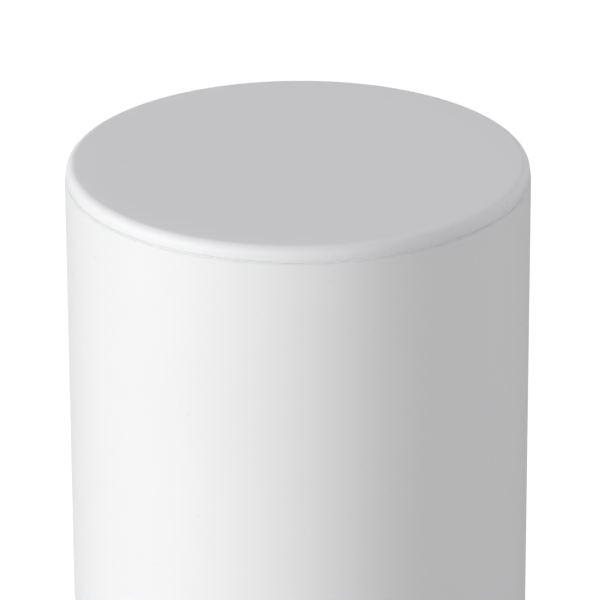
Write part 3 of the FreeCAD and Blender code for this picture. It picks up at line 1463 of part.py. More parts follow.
def earth_lug():
    """Ring lug on the stud, with a barrel that points down."""
    place = earth_stud_place()
    back = V(place.x, lug_back(), place.z)
    ring = rod(LUG_RADIUS, back, back + V(0, LUG_THICK, 0))
    neck = Part.makeBox(5.0, LUG_THICK, 10.0, V(place.x - 2.5, lug_back(), lug_barrel_top() - 2))
    middle = lug_back() + LUG_THICK / 2
    top = lug_barrel_top()
    barrel = rod(LUG_BARREL_RADIUS, V(place.x, middle, top - LUG_BARREL), V(place.x, middle, top))
    lug = joined(ring, [neck, barrel])
    hole = rod(EARTH_STUD_RADIUS + 0.2, back - V(0, 1, 0), back + V(0, 3, 0))
    mouth = V(place.x, middle, top - LUG_BARREL - 1)
    bore = rod(EARTH_LEAD_RADIUS + THREAD_FIT, mouth, V(place.x, middle, top - 2))
    return without(lug, [hole, bore])


def earth_lead():
    """Green and yellow lead from the lug, hanging in a loop, up into the middle gland."""
    place = earth_stud_place()
    middle = lug_back() + LUG_THICK / 2
    gland_low = BOX_FOOT - GLAND_END
    start = V(place.x, middle, lug_barrel_top() - 2.5)
    end = V(0, GLAND_FRONT, BOX_FOOT + 9.0)
    points = [
        start,
        V(place.x, middle, lug_barrel_top() - 42.0),
        V(place.x - 7.0, -4.0, gland_low - 31.0),
        V(place.x - 26.0, 1.5, gland_low - 50.0),
        V(place.x - 44.0, 4.0, gland_low - 46.0),
        V(0, GLAND_FRONT, gland_low - 22.0),
        end,
    ]
    return cable(points, EARTH_LEAD_RADIUS)


def riser_cable():
    """Sheathed cable from the box's upper gland to the foot of the driver."""
    foot = BOX_TOP - 8.0
    top = DRIVER_BOTTOM - DRIVER_COVER + 9.5
    gland_top = BOX_TOP + GLAND_END
    climb = clip_height() - gland_top
    points = [
        V(RISER_OFFSET, GLAND_FRONT, foot),
        V(RISER_OFFSET, GLAND_FRONT, gland_top + climb * 0.12),
        V(RISER_OFFSET - 5.0, GLAND_FRONT - 5.0, gland_top + climb * 0.34),
        V(-7.0, -4.0, gland_top + climb * 0.54),
        V(0, 0, gland_top + climb * 0.72),
        V(0, 0, top),
    ]
    return cable(points, RISER_CABLE_RADIUS)


# ---------------------------------------------------------------- all nodes


def build():
    """Every node's name with its shape."""
    lower_height, upper_height = door_screw_heights()
    return {
        "diffuser_tube": diffuser_tube(),
        "diffuser_cap": diffuser_cap(),
        "cap_seal": cap_seal(),
        "diffuser_collar": diffuser_collar(),
        "head_grub_screws": head_grub_screws(),
        "head_flange": head_flange(),
        "flange_seal": flange_seal(),
        "head_seal": head_seal(),
        "flange_screws": flange_screws(),
        "vent_plug": vent_plug(),
        "lead_grommet": lead_grommet(),
        "led_column": led_column(),
        "thermal_pads": thermal_pads(),
        "led_boards": led_boards(),
        "led_chips": led_chips(),
        "board_screws": board_screws(),
        "column_screws": column_screws(),
        "column_top_plate": column_top_plate(),
        "hub_board": hub_board(),
        "small_screws": small_screws(),
        "lead_connector": lead_connector(),
        "led_lead": led_lead(),
        "gear_tray": gear_tray(),
        "carrier_screws": carrier_screws(),
        "led_driver": led_driver(),
        "driver_end_covers": driver_end_covers(),
        "driver_screws": driver_screws(),
        "surge_protector": surge_protector(),
        "cable_clip": cable_clip(),
        "clip_screw": clip_screw(),
        "post_tube": post_tube(),
        "base_plate": base_plate(),
        "base_cover": base_cover(),
        "cover_grub_screws": cover_grub_screws(),
        "door_frame": door_frame(),
        "door_nuts": door_nuts(),
        "door_panel": door_panel(),
        "door_seal": door_seal(),
        "door_screw_lower": door_screw(lower_height),
        "door_screw_upper": door_screw(upper_height),
        "door_screw_retainers": door_screw_retainers(),
        "crossbars": crossbars(),
        "connection_box": connection_box(),
        "box_seal": box_seal(),
        "box_lid": box_lid(),
        "lid_screws": lid_screws(),
        "gland_bodies": gland_parts("body"),
        "gland_inserts": gland_parts("insert"),
        "gland_nuts": gland_parts("nut"),
        "gland_locknuts": gland_parts("locknut"),
        "box_terminals": terminal_blocks(),
        "fuse_terminal": fuse_terminal(),
        "fuse_link": fuse_link(),
        "din_rail": din_rail(),
        "earth_stud": earth_stud(),
        "earth_lug": earth_lug(),
        "earth_nuts": earth_nuts(),
        "earth_washers": earth_washers(),
        "earth_lead": earth_lead(),
        "riser_cable": riser_cable(),
    }


def main():
    os.makedirs("parts", exist_ok=True)
    for name, shape in build().items():
        for solid in shape.Solids:
            if not solid.isValid() or solid.Volume <= 0:
                print(f"{name} holds a solid that isn't valid")
        shape.exportStep(os.path.join("parts", name + ".step"))


main()
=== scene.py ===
import json
import math

import bmesh
import bpy
import numpy as np
from bpy.props import FloatProperty, FloatVectorProperty, IntProperty, PointerProperty
from bpy.types import Operator, Panel, PropertyGroup
from mathutils import Matrix, Vector


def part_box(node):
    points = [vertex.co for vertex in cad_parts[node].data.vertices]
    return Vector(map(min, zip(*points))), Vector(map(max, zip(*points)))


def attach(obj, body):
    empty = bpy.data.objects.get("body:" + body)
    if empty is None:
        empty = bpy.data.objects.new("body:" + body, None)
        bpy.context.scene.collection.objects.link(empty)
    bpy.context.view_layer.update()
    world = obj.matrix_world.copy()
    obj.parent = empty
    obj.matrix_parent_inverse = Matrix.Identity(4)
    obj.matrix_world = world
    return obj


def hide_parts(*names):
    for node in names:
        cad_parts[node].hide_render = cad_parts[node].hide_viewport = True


bl_info = {
    "name": "Bollard Light",
    "version": (1, 0, 0),
    "blender": (4, 5, 0),
    "location": "View3D > Sidebar > Bollard",
    "description": "Builds the finished pieces, finishes and studio of a round white bollard light",
    "category": "Object",
}

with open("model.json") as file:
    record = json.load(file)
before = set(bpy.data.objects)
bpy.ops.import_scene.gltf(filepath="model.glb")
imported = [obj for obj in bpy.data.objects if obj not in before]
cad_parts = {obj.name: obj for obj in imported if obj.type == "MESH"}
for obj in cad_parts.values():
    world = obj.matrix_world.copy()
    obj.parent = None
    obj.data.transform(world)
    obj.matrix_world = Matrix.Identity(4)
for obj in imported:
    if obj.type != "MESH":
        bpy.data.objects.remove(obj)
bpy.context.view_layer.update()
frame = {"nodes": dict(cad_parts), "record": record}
MM = 0.001
SHARP_EDGE = math.radians(33.0)
ARC_STEP_DEGREES = 12.0
SCREW_SIDES = 24


def low(node):
    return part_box(node)[0]


def high(node):
    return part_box(node)[1]


BODY_RADIUS = high("post_tube").y


# ---------------------------------------------------------------- settings


class BollardHeadSettings(PropertyGroup):
    """Sizes of the opal head that a user would change."""

    wall: FloatProperty(
        name="Tube wall", description="Thickness of the opal tube", default=3.0 * MM, unit="LENGTH"
    )
    tube_edge: FloatProperty(
        name="Tube edge", description="Rounding of the tube's ends", default=0.15 * MM,
        unit="LENGTH",
    )
    cap_edge: FloatProperty(
        name="Cap edge", description="Rounding of the cap's top edge", default=3.2 * MM, unit="LENGTH"
    )
    cap_plate: FloatProperty(
        name="Cap plate", description="Thickness of the cap's disc", default=3.4 * MM, unit="LENGTH"
    )
    skirt_wall: FloatProperty(
        name="Skirt wall", description="Thickness of the cap's skirt", default=3.0 * MM, unit="LENGTH"
    )
    segments: IntProperty(
        name="Segments", description="Facets round each turned piece", default=288, min=24
    )


class BollardFinishSettings(PropertyGroup):
    """Colours that a user would change."""

    opal: FloatVectorProperty(
        name="Opal", description="Colour of the opal acrylic", subtype="COLOR",
        default=(0.862, 0.860, 0.874),
    )
    powder: FloatVectorProperty(
        name="Powder coat", description="Colour of the post's powder coat", subtype="COLOR",
        default=(0.80, 0.802, 0.80),
    )
    phosphor: FloatVectorProperty(
        name="Phosphor", description="Colour of the unlit light-emitting faces", subtype="COLOR",
        default=(0.88, 0.62, 0.12),
    )
    earth: FloatVectorProperty(
        name="Earth lead", description="Main colour of the earth lead", subtype="COLOR",
        default=(0.06, 0.28, 0.05),
    )


class BollardStageSettings(PropertyGroup):
    """The studio that a user would change."""

    lens: FloatProperty(
        name="Lens", description="Focal length in millimetres", default=312.0, min=10.0
    )
    pitch: FloatProperty(
        name="Pitch", description="How far the camera looks down", subtype="ANGLE",
        default=math.radians(23.01),
    )
    roll: FloatProperty(
        name="Roll", description="Turn of the camera about its line of sight", subtype="ANGLE",
        default=math.radians(-0.27),
    )
    distance: FloatProperty(
        name="Distance", description="Camera to the seam under the cap", default=1.786, unit="LENGTH"
    )
    drop: FloatProperty(
        name="Drop", description="How far the aim lies under the seam", default=0.0430, unit="LENGTH"
    )
    aside: FloatProperty(
        name="Aside", description="How far the camera stands to the right", default=0.0005,
        unit="LENGTH",
    )
    surround: FloatProperty(
        name="Surround", description="Brightness of the white room round the object", default=0.20
    )
    floor_glow: FloatProperty(
        name="Floor glow", description="White added to the floor where the camera sees it",
        default=0.74,
    )
    softness: FloatProperty(
        name="Softness", description="Angle that each soft light fills", subtype="ANGLE",
        default=math.radians(32.0),
    )


# ---------------------------------------------------------------- mesh helpers


def link(obj):
    bpy.context.scene.collection.objects.link(obj)
    return obj


def remove(obj):
    data = obj.data
    bpy.data.objects.remove(obj)
    if data and not data.users:
        bpy.data.meshes.remove(data)


def mesh_object(name, verts, edges=(), faces=()):
    mesh = bpy.data.meshes.new(name)
    mesh.from_pydata([tuple(v) for v in verts], list(edges), [tuple(f) for f in faces])
    mesh.update()
    return link(bpy.data.objects.new(name, mesh))


def baked(obj):
    """Replaces the object's mesh with its evaluated mesh, and drops its modifiers."""
    graph = bpy.context.evaluated_depsgraph_get()
    mesh = bpy.data.meshes.new_from_object(obj.evaluated_get(graph), depsgraph=graph)
    mesh.name = obj.name
    old = obj.data
    obj.modifiers.clear()
    obj.data = mesh
    if not old.users:
        bpy.data.meshes.remove(old)
    return obj


def smoothed(obj):
    """Smooth shading on all but the sharp edges."""
    obj.data.shade_smooth()
    obj.data.set_sharp_from_angle(angle=SHARP_EDGE)
    return obj


def tidied(obj):
    """Merges doubles, points the faces outwards and smooths all but the sharp edges."""
    work = bmesh.new()
    work.from_mesh(obj.data)
    bmesh.ops.remove_doubles(work, verts=work.verts, dist=2e-6)
    bmesh.ops.dissolve_degenerate(work, edges=work.edges, dist=1e-7)
    bmesh.ops.recalc_face_normals(work, faces=work.faces)
    work.to_mesh(obj.data)
    work.free()
    return smoothed(obj)


def finished(obj, body, nodes=()):
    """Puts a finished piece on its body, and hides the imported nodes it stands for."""
    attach(obj, body)
    if nodes:
        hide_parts(*nodes)
    return obj


def rounded_outline(corners, closed=True, support=0.25 * MM):
    """Points through (u, v) or (u, v, radius) corners, with an extra point beside each arc."""
    count = len(corners)
    points = []
    for index, corner in enumerate(corners):
        here = Vector(corner[:2])
        radius = corner[2] if len(corner) > 2 else 0.0
        at_end = not closed and index in (0, count - 1)
        if not radius or at_end:
            points.append(here)
            continue
        back = (Vector(corners[index - 1][:2]) - here).normalized()
        ahead = (Vector(corners[(index + 1) % count][:2]) - here).normalized()
        half = back.angle(ahead) / 2
        reach = radius / math.tan(half)
        centre = here + (back + ahead).normalized() * radius / math.sin(half)
        start, end = here + back * reach, here + ahead * reach
        turn = math.pi - 2 * half
        steps = max(2, math.ceil(math.degrees(turn) / ARC_STEP_DEGREES))
        first = start - centre
        way = 1.0 if first.x * (end - centre).y - first.y * (end - centre).x > 0 else -1.0
        points.append(start + back * support)
        for step in range(steps + 1):
            angle = way * turn * step / steps
            points.append(centre + Matrix.Rotation(angle, 2) @ first)
        points.append(end + ahead * support)
    return points


# ---------------------------------------------------------------- geometry node trees


class Tree:
    """A geometry node tree in the making, with named inputs."""

    def __init__(self, name):
        self.group = bpy.data.node_groups.new(name, "GeometryNodeTree")
        self.nodes, self.links = self.group.nodes, self.group.links
        self.identifiers = {}
        self.socket("Geometry", "NodeSocketGeometry")
        self.group.interface.new_socket(
            "Geometry", in_out="OUTPUT", socket_type="NodeSocketGeometry"
        )

    def socket(self, name, kind):
        item = self.group.interface.new_socket(name, in_out="INPUT", socket_type=kind)
        self.identifiers[name] = item.identifier

    def start(self):
        self.inputs = self.nodes.new("NodeGroupInput").outputs

    def node(self, kind, settings=None, **inputs):
        """Adds a node; each input is a value, or an output socket to link from."""
        made = self.nodes.new(kind)
        for key, value in (settings or {}).items():
            setattr(made, key, value)
        for key, value in inputs.items():
            target = made.inputs[key.replace("_", " ")]
            if isinstance(value, bpy.types.NodeSocket):
                self.links.new(value, target)
            else:
                target.default_value = value
        return made.outputs

    def finish(self, geometry):
        """Ends the tree in Realize Instances and Set Material."""
        real = self.node("GeometryNodeRealizeInstances", Geometry=geometry)
        last = self.node("GeometryNodeSetMaterial", Geometry=real[0], Material=self.inputs["Material"])
        self.links.new(last[0], self.nodes.new("NodeGroupOutput").inputs[0])

    def apply(self, obj, **values):
        """Runs the tree on an object and keeps the plain mesh that it makes."""
        modifier = obj.modifiers.new("tree", "NODES")
        modifier.node_group = self.group
        for name, value in values.items():
            modifier[self.identifiers[name.replace("_", " ")]] = value
        return baked(obj)


def turning_tree():
    """Turns a wire drawn as (radius less path radius, minus height) about the Z axis."""
    tree = Tree("turned_piece")
    tree.socket("Segments", "NodeSocketInt")
    tree.socket("Path Radius", "NodeSocketFloat")
    tree.socket("Material", "NodeSocketMaterial")
    tree.start()
    path = tree.node(
        "GeometryNodeCurvePrimitiveCircle", Resolution=tree.inputs["Segments"],
        Radius=tree.inputs["Path Radius"],
    )
    section = tree.node("GeometryNodeMeshToCurve", Mesh=tree.inputs["Geometry"])
    swept = tree.node("GeometryNodeCurveToMesh", Curve=path[0], Profile_Curve=section[0])
    merged = tree.node("GeometryNodeMergeByDistance", Geometry=swept[0], Distance=1e-6)
    tree.finish(merged[0])
    return tree


def ring_tree():
    """Puts rows of a template round the Z axis, with its +X side facing outwards."""
    tree = Tree("ring_of_rows")
    tree.socket("Template", "NodeSocketObject")
    tree.socket("Around", "NodeSocketInt")
    tree.socket("Rows", "NodeSocketInt")
    tree.socket("Row Pitch", "NodeSocketFloat")
    tree.socket("Radius", "NodeSocketFloat")
    tree.socket("Height", "NodeSocketFloat")
    tree.socket("First Angle", "NodeSocketFloat")
    tree.socket("Material", "NodeSocketMaterial")
    tree.start()
    template = tree.node("GeometryNodeObjectInfo", Object=tree.inputs["Template"])["Geometry"]
    offset = tree.node("ShaderNodeCombineXYZ", Z=tree.inputs["Row Pitch"])
    foot = tree.node("ShaderNodeCombineXYZ", Z=tree.inputs["Height"])
    line = tree.node(
        "GeometryNodeMeshLine", Count=tree.inputs["Rows"], Start_Location=foot[0], Offset=offset[0]
    )
    row = tree.node("GeometryNodeInstanceOnPoints", Points=line[0], Instance=template)
    circle = tree.node(
        "GeometryNodeMeshCircle", Vertices=tree.inputs["Around"], Radius=tree.inputs["Radius"]
    )
    turn = tree.node("ShaderNodeCombineXYZ", Z=tree.inputs["First Angle"])
    turned = tree.node("GeometryNodeTransform", Geometry=circle[0], Rotation=turn[0])
    place = tree.node("GeometryNodeInputPosition")
    facing = tree.node(
        "FunctionNodeAlignRotationToVector", {"axis": "X", "pivot_axis": "Z"}, Vector=place[0]
    )
    ring = tree.node(
        "GeometryNodeInstanceOnPoints", Points=turned[0], Instance=row[0], Rotation=facing[0]
    )
    tree.finish(ring[0])
    return tree


def seat_tree():
    """Puts a template on each point, with its +Z side along the point's aim."""
    tree = Tree("fasteners_on_seats")
    tree.socket("Template", "NodeSocketObject")
    tree.socket("Material", "NodeSocketMaterial")
    tree.start()
    template = tree.node("GeometryNodeObjectInfo", Object=tree.inputs["Template"])["Geometry"]
    aim = tree.node("GeometryNodeInputNamedAttribute", {"data_type": "FLOAT_VECTOR"}, Name="aim")
    facing = tree.node("FunctionNodeAlignRotationToVector", {"axis": "Z"}, Vector=aim[0])
    placed = tree.node(
        "GeometryNodeInstanceOnPoints", Points=tree.inputs["Geometry"], Instance=template,
        Rotation=facing[0],
    )
    tree.finish(placed[0])
    return tree


TREES = {}


def the_tree(maker):
    """The tree that a maker builds, built once."""
    if maker not in TREES:
        TREES[maker] = maker()
    return TREES[maker]


def turned(name, corners, material, closed=True, segments=None):
    """Piece turned about the Z axis from (radius, height, rounding) corners."""
    segments = segments or bpy.context.scene.bollard_head.segments
    path_radius = 0.1
    points = rounded_outline(corners, closed)
    verts = [(point.x - path_radius, -point.y, 0.0) for point in points]
    edges = [(index, index + 1) for index in range(len(verts) - 1)]
    if closed:
        edges.append((len(verts) - 1, 0))
    obj = mesh_object(name, verts, edges)
    the_tree(turning_tree).apply(
        obj, Segments=segments, Path_Radius=path_radius, Material=material
    )
    return tidied(obj)


def on_seats(name, template, seats, material):
    """Copies of a template on (place, aim) seats, as one mesh. The template is removed."""
    obj = mesh_object(name, [place for place, _ in seats])
    aims = obj.data.attributes.new("aim", "FLOAT_VECTOR", "POINT")
    for item, (_, aim) in zip(aims.data, seats):
        item.vector = aim
    the_tree(seat_tree).apply(obj, Template=template, Material=material)
    remove(template)
    return smoothed(obj)


# ---------------------------------------------------------------- materials


class Paint:
    """A procedural material in the making, on object coordinates."""

    def __init__(self, name):
        self.material = bpy.data.materials.new(name)
        self.material.use_nodes = True
        self.nodes, self.links = self.material.node_tree.nodes, self.material.node_tree.links
        self.shader = self.nodes["Principled BSDF"]
        self.place = self.nodes.new("ShaderNodeTexCoord").outputs["Object"]
        self.bumps = None

    def set(self, **values):
        for key, value in values.items():
            if hasattr(value, "__len__") and len(value) == 3:
                value = (*value, 1.0)
            self.shader.inputs[key.replace("_", " ")].default_value = value
        return self

    def stretched(self, scale, turn=(0.0, 0.0, 0.0)):
        mapping = self.nodes.new("ShaderNodeMapping")
        mapping.inputs["Scale"].default_value = scale
        mapping.inputs["Rotation"].default_value = turn
        self.links.new(self.place, mapping.inputs["Vector"])
        return mapping.outputs[0]

    def noise(self, scale, detail=3.0, where=None):
        texture = self.nodes.new("ShaderNodeTexNoise")
        texture.inputs["Scale"].default_value = scale
        texture.inputs["Detail"].default_value = detail
        self.links.new(where or self.place, texture.inputs["Vector"])
        return texture.outputs["Fac"]

    def cells(self, scale, output="Color", feature="F1"):
        texture = self.nodes.new("ShaderNodeTexVoronoi")
        texture.feature = feature
        texture.inputs["Scale"].default_value = scale
        self.links.new(self.place, texture.inputs["Vector"])
        return texture.outputs[output]

    def waves(self, scale, distortion=0.0, where=None, profile="SIN"):
        texture = self.nodes.new("ShaderNodeTexWave")
        texture.wave_profile = profile
        texture.bands_direction = "Z"
        texture.inputs["Scale"].default_value = scale
        texture.inputs["Distortion"].default_value = distortion
        self.links.new(where or self.place, texture.inputs["Vector"])
        return texture.outputs["Fac"]

    def ranged(self, value, low_in, high_in, low_out, high_out):
        node = self.nodes.new("ShaderNodeMapRange")
        ends = {"From Min": low_in, "From Max": high_in, "To Min": low_out, "To Max": high_out}
        for key, end in ends.items():
            node.inputs[key].default_value = end
        self.links.new(value, node.inputs["Value"])
        return node.outputs["Result"]

    def colours(self, factor, first, second, low_in=0.3, high_in=0.7):
        """Base colour between two colours, as the factor runs from low_in to high_in."""
        ramp = self.nodes.new("ShaderNodeValToRGB")
        ramp.color_ramp.elements[0].position = low_in
        ramp.color_ramp.elements[1].position = high_in
        ramp.color_ramp.elements[0].color = (*first, 1.0)
        ramp.color_ramp.elements[1].color = (*second, 1.0)
        self.links.new(factor, ramp.inputs["Fac"])
        self.links.new(ramp.outputs["Color"], self.shader.inputs["Base Color"])
        return self

    def specks(self, factor, first, second, threshold, speck):
        """Two close colours by noise, with rare specks where a second noise peaks."""
        self.colours(factor, first, second)
        base = self.shader.inputs["Base Color"].links[0].from_socket
        mix = self.nodes.new("ShaderNodeMix")
        mix.data_type = "RGBA"
        peak = self.ranged(self.noise(900.0, 1.0), threshold, threshold + 0.02, 0.0, 0.6)
        self.links.new(peak, mix.inputs["Factor"])
        self.links.new(base, mix.inputs["A"])
        mix.inputs["B"].default_value = (*speck, 1.0)
        self.links.new(mix.outputs["Result"], self.shader.inputs["Base Color"])
        return self

    def rough(self, factor, smooth, coarse):
        self.links.new(
            self.ranged(factor, 0.3, 0.7, smooth, coarse), self.shader.inputs["Roughness"]
        )
        return self

    def bump(self, factor, distance):
        """Adds a bump on top of any that the material already has."""
        node = self.nodes.new("ShaderNodeBump")
        node.inputs["Strength"].default_value = 1.0
        node.inputs["Distance"].default_value = distance
        self.links.new(factor, node.inputs["Height"])
        if self.bumps:
            self.links.new(self.bumps, node.inputs["Normal"])
        self.bumps = node.outputs["Normal"]
        self.links.new(self.bumps, self.shader.inputs["Normal"])
        return self


def shifted(colour, amount):
    return tuple(max(0.0, min(1.0, channel * (1.0 + amount))) for channel in colour)


def opal_acrylic(name):
    """Satin opal acrylic: light goes a little way in, and the colour is faintly clouded."""
    colour = bpy.context.scene.bollard_finish.opal
    paint = Paint(name)
    paint.specks(
        paint.noise(9.0, 4.0), shifted(colour, -0.012), shifted(colour, 0.008), 0.80,
        (0.42, 0.41, 0.39),
    )
    paint.set(IOR=1.49, Subsurface_Weight=0.12, Subsurface_Scale=0.004)
    paint.shader.inputs["Subsurface Radius"].default_value = (1.0, 0.95, 0.9)
    paint.rough(paint.noise(220.0, 2.0), 0.58, 0.66)
    paint.bump(paint.noise(2600.0, 2.0), 0.004 * MM)
    return paint.material


def clear_silicone(name):
    paint = Paint(name)
    paint.colours(paint.noise(300.0), (0.88, 0.88, 0.882), (0.92, 0.92, 0.922))
    paint.set(IOR=1.41, Subsurface_Weight=0.15, Subsurface_Scale=0.002, Roughness=0.35)
    paint.bump(paint.noise(1500.0), 0.01 * MM)
    return paint.material


def powder_coat(name):
    """Fine satin powder coat, with the slight orange peel of a cured film."""
    colour = bpy.context.scene.bollard_finish.powder
    paint = Paint(name)
    paint.specks(
        paint.noise(14.0, 3.0), shifted(colour, -0.015), shifted(colour, 0.01), 0.815,
        (0.40, 0.39, 0.37),
    )
    paint.set(IOR=1.5)
    paint.rough(paint.noise(350.0, 2.0), 0.36, 0.46)
    paint.bump(paint.noise(750.0, 1.5), 0.018 * MM)
    paint.bump(paint.noise(3800.0, 2.0), 0.006 * MM)
    return paint.material


def black_rubber(name):
    paint = Paint(name)
    paint.colours(paint.noise(120.0), (0.018, 0.018, 0.019), (0.032, 0.032, 0.034))
    paint.rough(paint.noise(500.0), 0.62, 0.78)
    paint.bump(paint.noise(2400.0, 3.0), 0.02 * MM)
    return paint.material


def turned_steel(name):
    """Stainless steel with fine marks and an uneven sheen."""
    paint = Paint(name)
    paint.colours(paint.noise(260.0, 4.0), (0.46, 0.455, 0.445), (0.66, 0.655, 0.645))
    paint.set(Metallic=1.0)
    paint.rough(paint.noise(900.0, 3.0), 0.22, 0.38)
    paint.bump(paint.noise(5200.0, 2.0), 0.004 * MM)
    return paint.material


def galvanised(name):
    """Hot-dip zinc: flat crystals of different greys, dull with age."""
    paint = Paint(name)
    spangle = paint.cells(115.0)
    grey = paint.nodes.new("ShaderNodeRGBToBW")
    paint.links.new(spangle, grey.inputs[0])
    paint.colours(grey.outputs[0], (0.36, 0.375, 0.39), (0.60, 0.61, 0.62), 0.15, 0.85)
    paint.set(Metallic=0.85)
    paint.rough(grey.outputs[0], 0.42, 0.60)
    paint.bump(paint.noise(420.0, 4.0), 0.03 * MM)
    paint.bump(paint.cells(115.0, "Distance", "DISTANCE_TO_EDGE"), 0.01 * MM)
    return paint.material


def anodised(name):
    """Extruded aluminium, with die lines along its length."""
    paint = Paint(name)
    lines = paint.noise(1.0, 3.0, where=paint.stretched((2600.0, 2600.0, 6.0)))
    paint.colours(lines, (0.60, 0.61, 0.62), (0.72, 0.73, 0.74))
    paint.set(Metallic=1.0)
    paint.rough(lines, 0.30, 0.42)
    paint.bump(lines, 0.012 * MM)
    return paint.material


def soft_pad(name):
    paint = Paint(name)
    paint.colours(paint.noise(1800.0, 2.0), (0.30, 0.33, 0.37), (0.40, 0.43, 0.46))
    paint.set(Roughness=0.72)
    paint.bump(paint.noise(2200.0), 0.02 * MM)
    return paint.material


def solder_resist(name):
    """White solder resist, with the copper lying in wide lands under it."""
    paint = Paint(name)
    lands = paint.waves(33.0, profile="TRI")
    paint.colours(lands, (0.80, 0.81, 0.80), (0.87, 0.875, 0.87), 0.10, 0.16)
    paint.set(IOR=1.52)
    paint.rough(paint.noise(600.0), 0.24, 0.34)
    paint.bump(paint.ranged(lands, 0.10, 0.16, 0.0, 1.0), 0.03 * MM)
    paint.bump(paint.noise(1600.0), 0.008 * MM)
    return paint.material


def phosphor_face(name):
    colour = bpy.context.scene.bollard_finish.phosphor
    paint = Paint(name)
    paint.colours(paint.noise(3500.0, 3.0), shifted(colour, -0.15), shifted(colour, 0.1))
    paint.set(Subsurface_Weight=0.2, Subsurface_Scale=0.0008, Roughness=0.35, Coat_Weight=0.3)
    paint.bump(paint.noise(5000.0), 0.01 * MM)
    return paint.material


def moulded(name, colour, smooth=0.38, coarse=0.52, grain=2200.0, depth=0.015):
    """Moulded plastic with a spark-eroded grain and slight flow marks."""
    paint = Paint(name)
    paint.colours(paint.noise(60.0, 3.0), shifted(colour, -0.06), shifted(colour, 0.05))
    paint.set(IOR=1.5)
    paint.rough(paint.noise(400.0), smooth, coarse)
    paint.bump(paint.noise(grain, 2.0), depth * MM)
    return paint.material


def clear_lid(name):
    """Clear polycarbonate with a hint of blue."""
    paint = Paint(name)
    paint.colours(paint.noise(40.0), (0.90, 0.93, 0.95), (0.95, 0.97, 0.98))
    paint.set(IOR=1.58, Transmission_Weight=0.92)
    paint.rough(paint.noise(300.0), 0.03, 0.09)
    paint.bump(paint.noise(90.0, 2.0), 0.01 * MM)
    return paint.material


def earth_sheath(name):
    """Green sheath with slanting yellow bands."""
    colour = bpy.context.scene.bollard_finish.earth
    paint = Paint(name)
    stripe = paint.waves(58.0, 0.6, where=paint.stretched((1.0, 1.0, 1.0), (0.7, 0.5, 0.0)))
    paint.colours(stripe, colour, (0.80, 0.62, 0.03), 0.60, 0.66)
    paint.rough(paint.noise(700.0), 0.38, 0.50)
    paint.bump(paint.noise(1800.0), 0.01 * MM)
    return paint.material


def cable_sheath(name):
    paint = Paint(name)
    paint.colours(paint.noise(200.0), (0.020, 0.020, 0.021), (0.036, 0.036, 0.038))
    paint.rough(paint.noise(500.0), 0.42, 0.58)
    paint.bump(paint.noise(1.0, 2.0, where=paint.stretched((1500.0, 1500.0, 120.0))), 0.02 * MM)
    return paint.material


def fuse_ceramic(name):
    """White ceramic barrel between plated ends, split by height on the fuse."""
    paint = Paint(name)
    foot, top = low("fuse_link").z, high("fuse_link").z
    split = paint.nodes.new("ShaderNodeSeparateXYZ")
    paint.links.new(paint.place, split.inputs[0])
    middle = (foot + top) / 2
    away = paint.nodes.new("ShaderNodeMath")
    away.operation = "SUBTRACT"
    away.inputs[1].default_value = middle
    paint.links.new(split.outputs["Z"], away.inputs[0])
    size = paint.nodes.new("ShaderNodeMath")
    size.operation = "ABSOLUTE"
    paint.links.new(away.outputs[0], size.inputs[0])
    barrel = (top - foot) / 2 - 5 * MM
    ends = paint.ranged(size.outputs[0], barrel - 0.01 * MM, barrel + 0.01 * MM, 0.0, 1.0)
    paint.colours(ends, (0.78, 0.76, 0.70), (0.66, 0.65, 0.62), 0.45, 0.55)
    paint.links.new(ends, paint.shader.inputs["Metallic"])
    paint.rough(paint.noise(900.0), 0.28, 0.42)
    paint.bump(paint.noise(3000.0), 0.004 * MM)
    return paint.material


FINISHES = {
    "opal_acrylic": opal_acrylic,
    "seal_clear": clear_silicone,
    "powder_white": powder_coat,
    "seal_black": black_rubber,
    "stainless": turned_steel,
    "galvanised_steel": galvanised,
    "column_aluminium": anodised,
    "pad_grey": soft_pad,
    "board_white": solder_resist,
    "chip_phosphor": phosphor_face,
    "nylon_white": lambda name: moulded(name, (0.78, 0.78, 0.76)),
    "vent_nylon": lambda name: moulded(name, (0.060, 0.062, 0.066), 0.42, 0.58),
    "surge_blue": lambda name: moulded(name, (0.035, 0.10, 0.28)),
    "box_grey": lambda name: moulded(name, (0.47, 0.485, 0.49), 0.40, 0.55, 1500.0, 0.03),
    "lid_clear": clear_lid,
    "terminal_beige": lambda name: moulded(name, (0.52, 0.49, 0.40), 0.34, 0.46),
    "fuse_glass": fuse_ceramic,
    "tinned_copper": turned_steel,
    "cable_black": cable_sheath,
    "earth_green_yellow": earth_sheath,
}
SLOT_OF = {part["node"]: part["material_slot"] for part in frame["record"]["subparts"]}
MADE_FINISHES = {}


def finish(slot):
    """The material of one of the record's slots, made once."""
    if slot not in MADE_FINISHES:
        MADE_FINISHES[slot] = FINISHES[slot]("bollard_" + slot)
    return MADE_FINISHES[slot]


# ---------------------------------------------------------------- screws


def solids_of(node):
    """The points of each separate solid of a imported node, as arrays."""
    work = bmesh.new()
    work.from_mesh(frame["nodes"][node].data)
    bmesh.ops.remove_doubles(work, verts=work.verts, dist=1e-6)
    work.verts.ensure_lookup_table()
    seen, groups = set(), []
    for start in work.verts:
        if start.index in seen:
            continue
        seen.add(start.index)
        queue, group = [start], []
        while queue:
            vert = queue.pop()
            group.append(vert.co[:])
            for edge in vert.link_edges:
                other = edge.other_vert(vert)
                if other.index not in seen:
                    seen.add(other.index)
                    queue.append(other)
        groups.append(np.array(group))
    work.free()
    return groups


